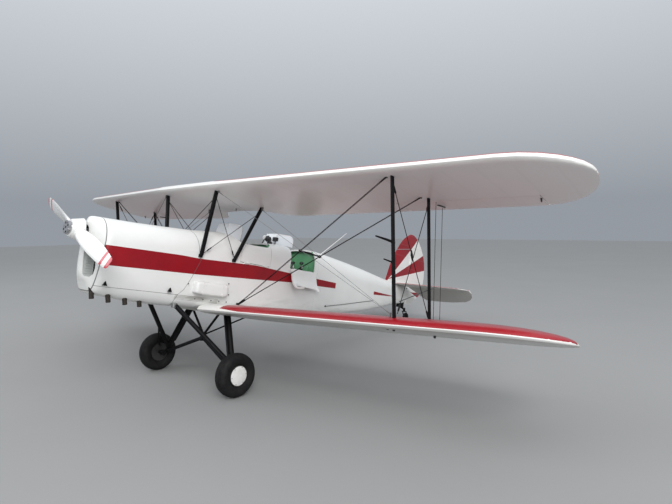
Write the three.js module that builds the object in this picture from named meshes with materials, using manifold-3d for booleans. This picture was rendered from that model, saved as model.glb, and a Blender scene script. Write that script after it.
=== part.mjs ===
// Two-seat training biplane with a tailwheel. Millimetres, +Z up, nose towards -Y, +X to the left wing.
// Everything is laid out in a level frame first: X to the left wing, Y aft, Z up, with the propeller
// shaft on z = 0 and the front of the engine cowl at y = 0. The last lines stand it on its wheels.
import * as THREE from "three";
import { mergeVertices } from "three/addons/utils/BufferGeometryUtils.js";
import Module from "manifold-3d";

const wasm = await Module();
wasm.setup();

// Stance on the ground
const GROUND_ANGLE = 11.82;
const SHAFT_HEIGHT = 1854.6;
const GAP = 0.4;

// Main wheels
const WHEEL_R = 245;
const WHEEL_W = 165;
const TRACK = 1654;
const WHEEL_Y = 1491;
const CAP_R = 114;
const AXLE_R = 22;

// Tail wheel
const TAIL_WHEEL_R = 85;
const TAIL_WHEEL_W = 52;
const TAIL_WHEEL_Y = 6225;
const TAIL_SWIVEL_Y = 6150;
const TAIL_SWIVEL_Z = -385;

// Upper wing. tipLead is the share of the chord lost at the tip that the leading edge gives up.
const UPPER = {
  x0: 520, y0: 965, z0: 711, sweep: 8.85, dihedral: 2.68, incidence: 4.05,
  chord: 1227, halfSpan: 4193, tip: 615, tipLead: 0.38,
};
const CENTRE_JOINT = 560;
const CUTOUT = [[0, 920], [350, 950], [500, 1080], [620, 1170], [800, 1227], [9999, 1227]];

// Lower wing
const LOWER = {
  x0: 600, y0: 1282, z0: -659, sweep: 8.64, dihedral: 3.07, incidence: 3.87,
  chord: 1222, halfSpan: 4060, tip: 730, tipLead: 0.44,
};

// Ailerons: span stations, hinge as a share of the chord, gap at the nose and ends
const AILERON_UPPER = [2250, 3660];
const AILERON_LOWER = [2100, 3440];
const AILERON_HINGE = 0.76;
const AILERON_NOSE = 28;
const AILERON_GAP = 7;

// Struts
const CABANE_TOP_X = 520;
const CABANE = [
  { top: [1100, 636], foot: [1122, -61] },
  { top: [1786, 590], foot: [1594, -45] },
];
const INTERPLANE_X = 2659;
const INTERPLANE = [
  { top: [1432, 768], foot: [1738, -497] },
  { top: [2105, 723], foot: [2405, -543] },
];
const STRUT_CHORD = 52;
const STRUT_THICK = 26;
const CABANE_CHORD = 54;
const CABANE_THICK = 28;
const WIRE_R = 4;

// Cockpits
const WALL = 20;
const FRONT_OPENING = [1625, 2230];
const REAR_OPENING = [2560, 3060];
const OPENING_HALF = 320;
const FRONT_DOOR = [1705, 2200, -55];
const REAR_DOOR = [2560, 3060, -18];
const DOOR_GAP = 6;
const REAR_DOOR_OPEN = 168;

// Propeller
const PROP_R = 930;
const PROP_Y = -110;
const DRUM = [[84, -168], [90, -160], [119, -56]];
const PLATE_R = 69;
const PLATE_Y = -200;
const PROP_ANGLE = 69.8;

// Tail surfaces
const TAILPLANE_Z = 100;
const TAILPLANE_T = 44;
const ELEVATOR_Y = 6090;
const ELEVATOR_DROOP = 25;
const RUDDER_Y = 6150;
const RUDDER_NOSE = 18;
const SEAM = [[5640, 752], [6128, 834]];
const SEAM_GAP = 9;

const rad = (d) => (d * Math.PI) / 180;
const tan = (d) => Math.tan(rad(d));
const root = new THREE.Group();
const level = new THREE.Group();
root.add(level);

// Solids and meshes
function toSolid(geometry) {
  const flat = geometry.index ? geometry.toNonIndexed() : geometry.clone();
  for (const name of Object.keys(flat.attributes)) {
    if (name !== "position") flat.deleteAttribute(name);
  }
  const g = mergeVertices(flat, 1e-3);
  const triVerts = new Uint32Array(g.index.array);
  const vertProperties = new Float32Array(g.attributes.position.array);
  const made = new wasm.Manifold(new wasm.Mesh({ numProp: 3, vertProperties, triVerts }));
  if (made.volume() >= 0) return made;
  for (let i = 0; i < triVerts.length; i += 3) {
    const swap = triVerts[i + 1];
    triVerts[i + 1] = triVerts[i + 2];
    triVerts[i + 2] = swap;
  }
  return new wasm.Manifold(new wasm.Mesh({ numProp: 3, vertProperties, triVerts }));
}

function toGeometry(solid) {
  const m = solid.getMesh();
  const xyz = new Float32Array(m.numVert * 3);
  for (let i = 0; i < m.numVert; i++) {
    xyz.set(m.vertProperties.subarray(i * m.numProp, i * m.numProp + 3), i * 3);
  }
  const g = new THREE.BufferGeometry();
  g.setAttribute("position", new THREE.BufferAttribute(xyz, 3));
  g.setIndex(new THREE.BufferAttribute(new Uint32Array(m.triVerts), 1));
  const flat = g.toNonIndexed();
  flat.computeVertexNormals();
  return flat;
}

const LOOK = {
  white: [0xe9e9e4, 0.35, 0.0],
  fabric: [0xe6e6e0, 0.5, 0.0],
  black: [0x151515, 0.4, 0.0],
  rubber: [0x1a1a1a, 0.85, 0.0],
  steel: [0x8f9296, 0.35, 0.9],
  alloy: [0xa9acae, 0.4, 0.8],
  green: [0x2f7a5c, 0.6, 0.0],
  leather: [0x3a2a20, 0.7, 0.0],
  glass: [0xdfe8ea, 0.08, 0.0],
  wood: [0xeeeeea, 0.25, 0.0],
};

function add(name, solid, look) {
  const [color, roughness, metalness] = LOOK[look];
  const material = new THREE.MeshStandardMaterial({ color, roughness, metalness });
  const mesh = new THREE.Mesh(toGeometry(solid), material);
  mesh.name = name;
  level.add(mesh);
}

const union = (...list) => list.reduce((a, b) => a.add(b));
const V = (p) => new THREE.Vector3(p[0], p[1], p[2]);
const mix = (a, b, t) => a + (b - a) * t;
const mix3 = (a, b, t) => a.map((v, i) => mix(v, b[i], t));

function table(rows, x) {
  if (x <= rows[0][0]) return rows[0].slice(1);
  for (let i = 1; i < rows.length; i++) {
    if (x > rows[i][0]) continue;
    const t = (x - rows[i - 1][0]) / (rows[i][0] - rows[i - 1][0]);
    return rows[i].slice(1).map((v, k) => mix(rows[i - 1][k + 1], v, t));
  }
  return rows[rows.length - 1].slice(1);
}

// Closed skin through a row of rings with the same number of points each
function loft(rings) {
  const n = rings[0].length;
  const pos = rings.flat().flat();
  const idx = [];
  for (let r = 0; r + 1 < rings.length; r++) {
    for (let i = 0; i < n; i++) {
      const a = r * n + i;
      const b = r * n + ((i + 1) % n);
      idx.push(a, b, b + n, a, b + n, a + n);
    }
  }
  const ends = [[rings[0], 0, false], [rings[rings.length - 1], (rings.length - 1) * n, true]];
  for (const [ring, base, last] of ends) {
    const c = pos.length / 3;
    const mid = [0, 1, 2].map((k) => ring.reduce((s, p) => s + p[k], 0) / n);
    pos.push(...mid);
    for (let i = 0; i < n; i++) {
      const a = base + i;
      const b = base + ((i + 1) % n);
      if (last) idx.push(c, a, b);
      else idx.push(c, b, a);
    }
  }
  const g = new THREE.BufferGeometry();
  g.setAttribute("position", new THREE.Float32BufferAttribute(pos, 3));
  g.setIndex(idx);
  return toSolid(g);
}

function box(x0, x1, y0, y1, z0, z1) {
  const g = new THREE.BoxGeometry(x1 - x0, y1 - y0, z1 - z0);
  g.translate((x0 + x1) / 2, (y0 + y1) / 2, (z0 + z1) / 2);
  return toSolid(g);
}

// A flat outline pushed along one axis: along x the outline is [y, z], along z it is [x, y]
function prism(axis, points, from, to) {
  const shape = new THREE.Shape(points.map((p) => new THREE.Vector2(p[0], p[1])));
  const g = new THREE.ExtrudeGeometry(shape, { depth: to - from, bevelEnabled: false });
  g.translate(0, 0, from);
  if (axis === "x") {
    g.applyMatrix4(
      new THREE.Matrix4().makeBasis(V([0, 1, 0]), V([0, 0, 1]), V([1, 0, 0])),
    );
  }
  return toSolid(g);
}

// An outline of [x, z] points pushed along y
function alongY(points, from, to) {
  const ring = (y) => points.map(([x, z]) => [x, y, z]);
  return loft([ring(from), ring(to)]);
}

function rounded(x0, x1, y0, y1, r, steps = 4) {
  const out = [];
  const corners = [[x1 - r, y1 - r, 0], [x0 + r, y1 - r, 90], [x0 + r, y0 + r, 180], [x1 - r, y0 + r, 270]];
  for (const [cx, cy, start] of corners) {
    for (let i = 0; i <= steps; i++) {
      const a = rad(start + (90 * i) / steps);
      out.push([cx + r * Math.cos(a), cy + r * Math.sin(a)]);
    }
  }
  return out;
}

function rod(a, b, r, sides = 10, r2 = r) {
  const dir = V(b).sub(V(a));
  const g = new THREE.CylinderGeometry(r2, r, dir.length(), sides);
  g.applyQuaternion(new THREE.Quaternion().setFromUnitVectors(V([0, 1, 0]), dir.clone().normalize()));
  const mid = V(a).add(V(b)).multiplyScalar(0.5);
  g.translate(mid.x, mid.y, mid.z);
  return toSolid(g);
}

// Streamlined strut with its chord fore and aft
function strut(a, b, chord = STRUT_CHORD, thick = STRUT_THICK, sides = 12) {
  const dir = V(b).sub(V(a)).normalize();
  const fore = V([0, 1, 0]).addScaledVector(dir, -dir.y).normalize();
  const side = new THREE.Vector3().crossVectors(dir, fore);
  const ring = (c) => {
    const out = [];
    for (let i = 0; i < sides; i++) {
      const t = (2 * Math.PI * i) / sides;
      const p = V(c).addScaledVector(fore, (chord / 2) * Math.cos(t));
      p.addScaledVector(side, (thick / 2) * Math.sin(t));
      out.push(p.toArray());
    }
    return out;
  };
  return loft([ring(a), ring(b)]);
}

function mirror(solid) {
  const m = solid.getMesh();
  const g = toGeometry(solid);
  g.scale(-1, 1, 1);
  return m.numVert ? toSolid(g) : solid;
}

function shift(solid, by) {
  const g = toGeometry(solid);
  g.translate(by[0], by[1], by[2]);
  return toSolid(g);
}

function turn(solid, point, axis, degrees) {
  const g = toGeometry(solid);
  g.translate(-point[0], -point[1], -point[2]);
  g.applyQuaternion(new THREE.Quaternion().setFromAxisAngle(V(axis).normalize(), rad(degrees)));
  g.translate(point[0], point[1], point[2]);
  return toSolid(g);
}

function lathe(profile, centre, axis, sides = 32) {
  const g = new THREE.LatheGeometry(profile.map((p) => new THREE.Vector2(p[0], p[1])), sides);
  g.applyQuaternion(new THREE.Quaternion().setFromUnitVectors(V([0, 1, 0]), V(axis).normalize()));
  g.translate(centre[0], centre[1], centre[2]);
  return toSolid(g);
}

// Fuselage: y, half width, shoulder z, top z, bottom z, roundness of top, roundness of bottom, taper
const BODY = [
  [-10, 40, -160, 92, -400, 2.6, 3.0, 0.05],
  [-5, 66, -150, 114, -428, 2.6, 3.2, 0.08],
  [3, 100, -140, 142, -450, 2.5, 3.6, 0.1],
  [12, 130, -134, 155, -472, 2.5, 4, 0.13],
  [24, 160, -130, 160, -492, 2.4, 4.4, 0.16],
  [42, 200, -126, 162, -518, 2.4, 4.8, 0.18],
  [60, 232, -123, 163, -569, 2.4, 5, 0.2],
  [80, 260, -121, 164, -605, 2.4, 5, 0.2],
  [100, 285, -120, 165, -622, 2.4, 5, 0.2],
  [130, 298, -118, 166, -630, 2.4, 5, 0.2],
  [160, 302, -117, 168, -635, 2.4, 5, 0.2],
  [430, 318, -105, 181, -662, 2.4, 5, 0.17],
  [780, 340, -85, 207, -677, 2.4, 5, 0.13],
  [1130, 355, -60, 236, -672, 2.4, 6, 0.1],
  [1350, 357, -40, 264, -668, 2.5, 7, 0.09],
  [1500, 357, -25, 288, -666, 2.6, 8, 0.08],
  [1640, 357, -20, 284, -664, 3.1, 8, 0.08],
  [1900, 357, -20, 262, -660, 3.6, 8, 0.08],
  [2250, 357, -20, 272, -653, 3.8, 8, 0.08],
  [2400, 357, -20, 292, -650, 4, 8, 0.08],
  [2500, 357, -20, 298, -647, 4, 8, 0.08],
  [2620, 357, -20, 290, -643, 4, 8, 0.08],
  [3060, 356, -20, 316, -628, 4, 8, 0.08],
  [3200, 352, -20, 322, -621, 3.4, 8, 0.08],
  [3540, 336, -22, 312, -598, 2.5, 8, 0.08],
  [4130, 298, -30, 268, -540, 2.2, 8, 0.08],
  [4540, 262, -36, 226, -495, 2.2, 7, 0.1],
  [5170, 188, -46, 152, -385, 2.2, 6, 0.12],
  [5500, 140, -50, 124, -315, 2.2, 6, 0.14],
  [5900, 74, -56, 98, -258, 2.4, 5, 0.16],
  [6108, 28, -60, 84, -234, 2.4, 4, 0.18],
];

function section(y, grow, n = 36) {
  const [w0, zs, zt, zb, nu, nl, taper] = table(BODY, y);
  const w = w0 + grow;
  const out = [];
  for (let i = 0; i < n; i++) {
    const a = (2 * Math.PI * (i + 0.5)) / n;
    const c = Math.cos(a);
    const s = Math.sin(a);
    const e = s >= 0 ? 2 / nu : 2 / nl;
    const h = s >= 0 ? zt - zs + grow : zs - zb + grow;
    const up = Math.sign(s) * Math.pow(Math.abs(s), e);
    const across = Math.sign(c) * Math.pow(Math.abs(c), e);
    const narrow = s >= 0 ? 1 : 1 - taper * Math.abs(up);
    out.push([w * across * narrow, y, zs + h * up]);
  }
  return out;
}

function body(grow, from = -1e9, to = 1e9) {
  const ys = BODY.map((row) => row[0]).filter((y) => y > from + 1 && y < to - 1);
  if (from > BODY[0][0]) ys.unshift(from);
  if (to < BODY[BODY.length - 1][0]) ys.push(to);
  const rings = ys.map((y) => section(y, grow));
  if (from <= BODY[0][0]) rings.unshift(section(BODY[0][0], grow).map((p) => [p[0] * 0.98, p[1] - grow, p[2]]));
  return loft(rings);
}

const evenSided = (solid) => union(solid, mirror(solid));
const outer = body(0);
const clearOfBody = evenSided(body(GAP));
const lining = body(-WALL, 900, 3130);
const insideLining = body(-WALL - GAP, 900, 3129);

// Rear edge of the cowl, as [y, z], upright at the shoulder and swept forward below it
const COWL_REAR = [
  [1062, 600], [1080, 200], [1112, -20], [1150, -120], [1060, -354], [1005, -475], [950, -530], [930, -600], [905, -900],
];
const cowlSpace = (back) => {
  const edge = COWL_REAR.map((p) => [p[0] - back, p[1]]);
  return prism("x", [[-400, 600], ...edge, [-400, -900]], -500, 500);
};
const behindCowl = (back, to) => {
  const edge = COWL_REAR.map((p) => [p[0] + back, p[1]]);
  return prism("x", [...edge, [to, -900], [to, 600]].reverse(), -500, 500);
};

// Nose bowl and cowl panels
const SKIN = 6;
const BOWL_SEAM = [[91, 600], [89, -100], [76, -535], [74, -900]];
const PAN_TOP = -535;
const skin = outer.subtract(shift(body(-SKIN, -9.9, 1200), [0, SKIN, 0]));
const INLET = [[40, -200], [60, -430], [85, -452], [150, -456], [188, -425], [203, -370], [205, -200]];
const inlet = alongY(INLET, -100, 130);
const shaftHole = rod([0, -300, 0], [0, 90, 0], 62, 24);
const bowlSpace = prism("x", [[-400, 600], ...BOWL_SEAM, [-400, -900]], -500, 500);
const behindBowl = prism("x", [...BOWL_SEAM.map((p) => [p[0] + 1, p[1]]), [2000, -900], [2000, 600]].reverse(), -500, 500);
const bowl = skin.intersect(bowlSpace).subtract(inlet).subtract(shaftHole);

const panels = skin.intersect(cowlSpace(1)).intersect(behindBowl);

const STUB_Y = [88, 236, 412, 573];
const STUB_R = 24;
const STUB_CLEAR = 3;
const stubTop = (y) => [y < 100 ? 112 : 134, y - 6, -492];
const stubEnd = (y) => (y < 100 ? [150, y + 12, -668] : [196, y + 14, -674 - 0.058 * y]);
const stubHoles = union(
  ...STUB_Y.map((y) => rod(mix3(stubTop(y), stubEnd(y), -0.08), stubEnd(y), STUB_R + STUB_CLEAR, 14)),
);
add("nose_bowl", bowl.subtract(stubHoles), "white");
add("cowl_upper", panels.intersect(box(-500, 500, 0, 2000, PAN_TOP, 600)).subtract(stubHoles), "white");
add("cowl_pan", panels.intersect(box(-500, 500, 0, 2000, -900, PAN_TOP - 1)).subtract(stubHoles), "white");

// Engine as one plain block with two bearers that reach the firewall
const ENGINE = { half: 150, y0: 190, y1: 985, z0: -430, z1: 62 };
const SHAFT_R = 34;
const bearers = [-110, 110].map((x) => box(x - 20, x + 20, 700, 1125, -80, -50));
const engine = union(
  box(-ENGINE.half, ENGINE.half, ENGINE.y0, ENGINE.y1, ENGINE.z0, ENGINE.z1),
  ...bearers,
).subtract(rod([0, 100, 0], [0, 330, 0], SHAFT_R + 1, 24));
add("engine_block", engine, "alloy");

let stubs = rod([130, 90, -490], [130, 600, -490], STUB_R, 12);
for (const y of STUB_Y) {
  stubs = union(stubs, rod(stubTop(y), stubEnd(y), STUB_R, 14));
  if (y > ENGINE.y0 + 20) stubs = union(stubs, rod([130, y, -495], [130, y, ENGINE.z0 - GAP], 18, 12));
}
add("exhaust_stubs", stubs, "black");

const firewallSlab = behindCowl(2, 3000).subtract(behindCowl(10, 3100));
add("firewall", firewallSlab.intersect(insideLining), "alloy");

// Forward fuselage with two open cockpits
const openTop = (y0, y1, r) => prism("z", rounded(-OPENING_HALF, OPENING_HALF, y0, y1, r), 60, 600);
const doorway = (d, g) => box(200, 500, d[0] - g, d[1] + g, d[2] - g, 600);
const hull = outer.intersect(behindCowl(0, 3130)).subtract(lining);
const frontCut = openTop(FRONT_OPENING[0], FRONT_OPENING[1], 110);
const rearCut = openTop(REAR_OPENING[0] + 10, REAR_OPENING[1] + 10, 90);
const DOOR_SIDE = 120;
const doorCut = (d) => box(DOOR_SIDE, 500, d[0], d[1], d[2], 600);
let forward = hull.subtract(frontCut).subtract(rearCut);
const frontDoorClosed = forward.intersect(doorCut([FRONT_DOOR[0] + DOOR_GAP, FRONT_DOOR[1] - DOOR_GAP, FRONT_DOOR[2] + DOOR_GAP]));
const rearDoorClosed = forward.intersect(doorCut([REAR_DOOR[0] + DOOR_GAP, REAR_DOOR[1] - DOOR_GAP, REAR_DOOR[2] + DOOR_GAP]));
forward = forward.subtract(doorCut(FRONT_DOOR)).subtract(doorCut(REAR_DOOR));

// Door hinges: a barrel along the sill of each doorway, on the outside of the hull
const HINGE_R = 6;
const hingeX = (y) => table(BODY, y)[0] + HINGE_R + 1;
const FRONT_HINGE = [hingeX(1940), FRONT_DOOR[2]];
const REAR_HINGE = [hingeX(2810), REAR_DOOR[2]];
function barrels(hinge, spans) {
  return spans.map(([a, b]) =>
    union(
      rod([hinge[0], a, hinge[1]], [hinge[0], b, hinge[1]], HINGE_R, 12),
      box(hinge[0] - 16, hinge[0] - 2, a, b, hinge[1] - 26, hinge[1] - 3),
    ),
  );
}
function leaves(hinge, spans) {
  return spans.map(([a, b]) =>
    union(
      rod([hinge[0], a, hinge[1]], [hinge[0], b, hinge[1]], HINGE_R, 12),
      box(hinge[0] - 16, hinge[0] - 2, a, b, hinge[1] + 3, hinge[1] + 26),
    ),
  );
}
const hullSpans = (d) => [[d[0] + 60, d[0] + 100], [d[1] - 100, d[1] - 60]];
const leafSpans = (d) => [[d[0] + 100.5, d[0] + 140], [d[1] - 140, d[1] - 100.5]];
forward = union(forward, ...barrels(FRONT_HINGE, hullSpans(FRONT_DOOR)));
forward = union(forward, ...barrels(REAR_HINGE, hullSpans(REAR_DOOR)));
const frontDoor = union(frontDoorClosed, ...leaves(FRONT_HINGE, leafSpans(FRONT_DOOR)));
const rearDoor = union(rearDoorClosed, ...leaves(REAR_HINGE, leafSpans(REAR_DOOR)));
add("fuselage_forward", forward, "white");
add("door_front", frontDoor, "white");
add("door_rear", turn(rearDoor, [REAR_HINGE[0], 0, REAR_HINGE[1]], [0, 1, 0], REAR_DOOR_OPEN), "white");

// Cockpit fittings
const panelSlab = (y, z0) => box(-500, 500, y, y + 8, z0, 600).intersect(insideLining);
add("panel_front", panelSlab(1600, -110), "black");
add("panel_rear", panelSlab(2520, -110), "black");
function seat(y) {
  const pan0 = prism("z", rounded(-205, 205, y - 190, y + 190, 40), -290, -250);
  const back = prism("z", rounded(-205, 205, y + 165, y + 195, 14), -290, 75);
  const legs = [-150, 138].map((x) => box(x, x + 12, y - 150, y + 180, -900, -280));
  return union(pan0, back, ...legs).intersect(insideLining);
}
add("seat_front", seat(2000), "leather");
add("seat_rear", seat(2880), "leather");
function stick(y) {
  const base = box(-25, 25, y - 30, y + 30, -900, -590);
  return union(base, rod([0, y, -600], [0, y - 30, -190], 9, 10), rod([0, y - 30, -195], [0, y - 33, -110], 14, 10))
    .intersect(insideLining);
}
add("stick_front", stick(1760), "black");
add("stick_rear", stick(2640), "black");

// Windscreens of three flat panes: base and top of the front pane and of the rear edges, as [y, z]
const SCREEN_T = 6;
function windscreen(front, side) {
  const col = (x, [yb, yt, zt]) => [
    [x, yb, 60], [x * 0.88, yt, zt], [x * 0.88 * 0.985, yt + SCREEN_T, zt], [x * 0.985, yb + SCREEN_T, 60],
  ];
  return loft([col(-235, side), col(-120, front), col(120, front), col(235, side)]).subtract(clearOfBody);
}
add("windscreen_front", windscreen([1535, 1640, 418], [1705, 1785, 425]), "glass");
add("windscreen_rear", windscreen([2380, 2465, 444], [2635, 2692, 450]), "glass");

// Oil tank cover on the left side
const tank = prism("z", rounded(300, 424, 1105, 1545, 26), -505, -352).subtract(clearOfBody);
add("oil_tank", tank, "white");

// Wing sections as shares of the chord, from the leading edge over the top and back
const AIRFOIL = [
  [0, 0], [0.0125, 0.026], [0.05, 0.05], [0.1, 0.067], [0.2, 0.083], [0.3, 0.086], [0.45, 0.078],
  [0.6, 0.061], [0.76, 0.038], [0.9, 0.019], [1, 0.005], [1, -0.002], [0.76, -0.01], [0.5, -0.016],
  [0.3, -0.021], [0.15, -0.024], [0.05, -0.021], [0.0125, -0.012],
];

function lineAt(w, x, f) {
  const out = Math.max(x - w.x0, w === LOWER ? -1e9 : 0);
  return [x, w.y0 + out * tan(w.sweep) + f, w.z0 + out * tan(w.dihedral) - f * tan(w.incidence)];
}

function wingRing(w, x, grow) {
  const start = w.halfSpan - w.tip;
  let c = w === UPPER ? table(CUTOUT, Math.abs(x))[0] : w.chord;
  let lead = 0;
  let thick = w === UPPER ? Math.pow(c / w.chord, 0.3) * (w.chord / c) : 1;
  if (x > start) {
    const s = Math.asin(Math.min((x - start) / w.tip, 0.997));
    c = w.chord * Math.cos(s);
    lead = (w.chord - c) * w.tipLead;
    thick = Math.pow(Math.cos(s), -0.2);
  }
  return AIRFOIL.map(([f, h]) => {
    const p = lineAt(w, Math.abs(x), lead + f * c);
    const off = grow * (f === 0 ? 0 : h > 0 ? 1 : -1);
    const ahead = f === 0 ? -grow : f === 1 ? grow : 0;
    return [x, p[1] + ahead, p[2] + h * c * thick + off];
  });
}

function wing(w, from, to, grow = 0) {
  const start = w.halfSpan - w.tip;
  const xs = [from];
  const inner = w === UPPER ? [-500, -350, 0, 350, 500, 620, 800] : [];
  for (const x of [...inner, 1700, start]) if (x > from + 5 && x < to - 5) xs.push(x);
  if (to > start) for (const s of [15, 29, 42, 54, 65, 75, 84]) xs.push(start + w.tip * Math.sin(rad(s)));
  else xs.push(to);
  return loft(xs.map((x) => wingRing(w, x, grow)));
}

function hingePoint(w, x) {
  const p = lineAt(w, x, w.chord * AILERON_HINGE);
  return [x, p[1], p[2] + w.chord * 0.014];
}

function aileronCut(w, [x0, x1]) {
  const ring = (x) => {
    const h = hingePoint(w, x);
    const front = h[1] - AILERON_NOSE - AILERON_GAP;
    return [[x, front, h[2] - 200], [x, front, h[2] + 200], [x, h[1] + 900, h[2] + 200], [x, h[1] + 900, h[2] - 200]];
  };
  return loft([ring(x0), ring(x1)]);
}

// A bracket stands on the wing's rear face and stops short of the aileron's round nose
function hingeBrackets(w, xs) {
  return xs.map((x) => {
    const h = hingePoint(w, x);
    const front = h[1] - AILERON_NOSE - AILERON_GAP - 12;
    return box(x - 9, x + 9, front, h[1] - AILERON_NOSE - GAP - 1.3, h[2] - 14, h[2] + 12);
  });
}

function aileron(w, [x0, x1]) {
  const ring = (x) => {
    const h = hingePoint(w, x);
    const out = [];
    for (let i = 0; i <= 8; i++) {
      const a = rad(100 + (160 * i) / 8);
      out.push([x, h[1] + AILERON_NOSE * Math.cos(a), h[2] + AILERON_NOSE * Math.sin(a)]);
    }
    const te = lineAt(w, x, w.chord);
    let end = te;
    const start = w.halfSpan - w.tip;
    if (x > start) {
      const s = Math.asin((x - start) / w.tip);
      end = lineAt(w, x, w.chord * (w.tipLead + (1 - w.tipLead) * Math.cos(s)));
    }
    out.push([x, end[1], end[2] - 2], [x, end[1], end[2] + 6]);
    return out;
  };
  const g = AILERON_GAP + 1;
  const start = w.halfSpan - w.tip;
  const xs = [x0 + g];
  if (start > x0 + 50 && start < x1 - 50) xs.push(start);
  xs.push(x1 - g);
  return loft(xs.map(ring));
}

const bracketXs = ([a, b]) => [a + 150, (a + b) / 2, b - 150];
const centre = wing(UPPER, -CENTRE_JOINT, CENTRE_JOINT);
const centreClear = wing(UPPER, -CENTRE_JOINT, CENTRE_JOINT, GAP);
const upperClear = wing(UPPER, CENTRE_JOINT, UPPER.halfSpan, GAP);
const lowerClear = wing(LOWER, 200, LOWER.halfSpan, GAP);
add("centre_section", centre, "fabric");
const upperPanel = union(
  wing(UPPER, CENTRE_JOINT + 1, UPPER.halfSpan).subtract(aileronCut(UPPER, AILERON_UPPER)),
  ...hingeBrackets(UPPER, bracketXs(AILERON_UPPER)),
);
const lowerPanel = union(
  wing(LOWER, 290, LOWER.halfSpan).subtract(aileronCut(LOWER, AILERON_LOWER)),
  ...hingeBrackets(LOWER, bracketXs(AILERON_LOWER)),
).subtract(clearOfBody);
const upperAileron = aileron(UPPER, AILERON_UPPER);
const lowerAileron = aileron(LOWER, AILERON_LOWER);

// Struts, drawn for the left side
function seated(solid) {
  return solid.subtract(clearOfBody).subtract(centreClear).subtract(upperClear).subtract(lowerClear);
}
function cabane(c) {
  const foot = [378, c.foot[0], c.foot[1]];
  const lug = box(330, 384, c.foot[0] - 18, c.foot[0] + 18, c.foot[1] - 26, c.foot[1] + 10);
  return seated(union(strut([CABANE_TOP_X, c.top[0], c.top[1] + 60], foot, CABANE_CHORD, CABANE_THICK), lug));
}
function interplane(s) {
  return seated(strut([INTERPLANE_X, s.top[0], s.top[1] + 20], [INTERPLANE_X, s.foot[0], s.foot[1] - 60]));
}

// Undercarriage, drawn for the left side
const groundZ = (y, r) => (r + y * Math.sin(rad(GROUND_ANGLE)) - SHAFT_HEIGHT) / Math.cos(rad(GROUND_ANGLE));
const WHEEL_X = TRACK / 2;
const AXLE = [WHEEL_X, WHEEL_Y, groundZ(WHEEL_Y, WHEEL_R)];
const APEX = [0, 1580, -1000];
const NODE = [0, 1580, -1046];
const KNUCKLE = [676, 1553, AXLE[2] + 70];
const AXLE_LUG = [704, 1545, AXLE[2] + 20];
const LEG_TOP = [366, 1610, -660];
const RADIUS_TOP = [286, 945, -650];
const TUBE_AHEAD = [0, -50, 0];
const beside = (t) => mix3(KNUCKLE, LEG_TOP, t).map((v, i) => v + TUBE_AHEAD[i]);
const gearLeg = union(
  rod([676, WHEEL_Y, AXLE[2]], [WHEEL_X + 42, WHEEL_Y, AXLE[2]], AXLE_R, 20),
  rod([672, WHEEL_Y, AXLE[2]], [728, WHEEL_Y, AXLE[2]], 34, 16),
  rod([700, WHEEL_Y, AXLE[2]], AXLE_LUG, 30, 14),
  rod(AXLE_LUG, KNUCKLE, 28, 14),
  rod(mix3(KNUCKLE, LEG_TOP, 0), mix3(KNUCKLE, LEG_TOP, 0.24), 24, 14),
  rod(mix3(KNUCKLE, LEG_TOP, 0.2), LEG_TOP, 34, 14),
  rod(beside(0.14), beside(0.99), 12, 10),
  rod(mix3(KNUCKLE, LEG_TOP, 0.16), beside(0.16), 11, 8),
  rod(mix3(KNUCKLE, LEG_TOP, 0.8), beside(0.8), 11, 8),
  rod(KNUCKLE, RADIUS_TOP, 27, 14),
  rod(AXLE_LUG, [34, NODE[1] - 4, NODE[2]], 22, 12),
).subtract(clearOfBody).subtract(lowerClear);
const PYLON_TOP = [325, 1560, -660];
const pylonNode = union(
  rod([0, NODE[1] - 34, NODE[2]], [0, NODE[1] + 34, NODE[2]], 30, 14),
  box(-14, 14, NODE[1] - 26, NODE[1] + 26, NODE[2], APEX[2] + 14),
);
const pylon = union(
  pylonNode,
  rod(APEX, PYLON_TOP, 15, 12),
  rod(APEX, [-PYLON_TOP[0], PYLON_TOP[1], PYLON_TOP[2]], 15, 12),
  rod(APEX, [0, 2520, -620], 10, 10),
).subtract(clearOfBody).subtract(evenSided(lowerClear));
const gearFree = gearLeg.subtract(rod([0, NODE[1] - 50, NODE[2]], [0, NODE[1] + 50, NODE[2]], 30 + GAP, 28));

const tyreProfile = [
  [118, -52], [150, -74], [185, -WHEEL_W / 2], [212, -76], [234, -52], [WHEEL_R, 0],
  [234, 52], [212, 76], [185, WHEEL_W / 2], [150, 74], [118, 52], [118, -52],
];
const tyre = lathe(tyreProfile, AXLE, [1, 0, 0], 36);
const hubProfile = [
  [AXLE_R + 1, -50], [CAP_R + 2, -50], [CAP_R + 3.6, -45], [CAP_R + 3.6, 50], [CAP_R, 60], [80, 68], [40, 72],
  [0, 73], [0, 50], [AXLE_R + 1, 50], [AXLE_R + 1, -50],
];
const hub = lathe(hubProfile, AXLE, [1, 0, 0], 36);

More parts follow.
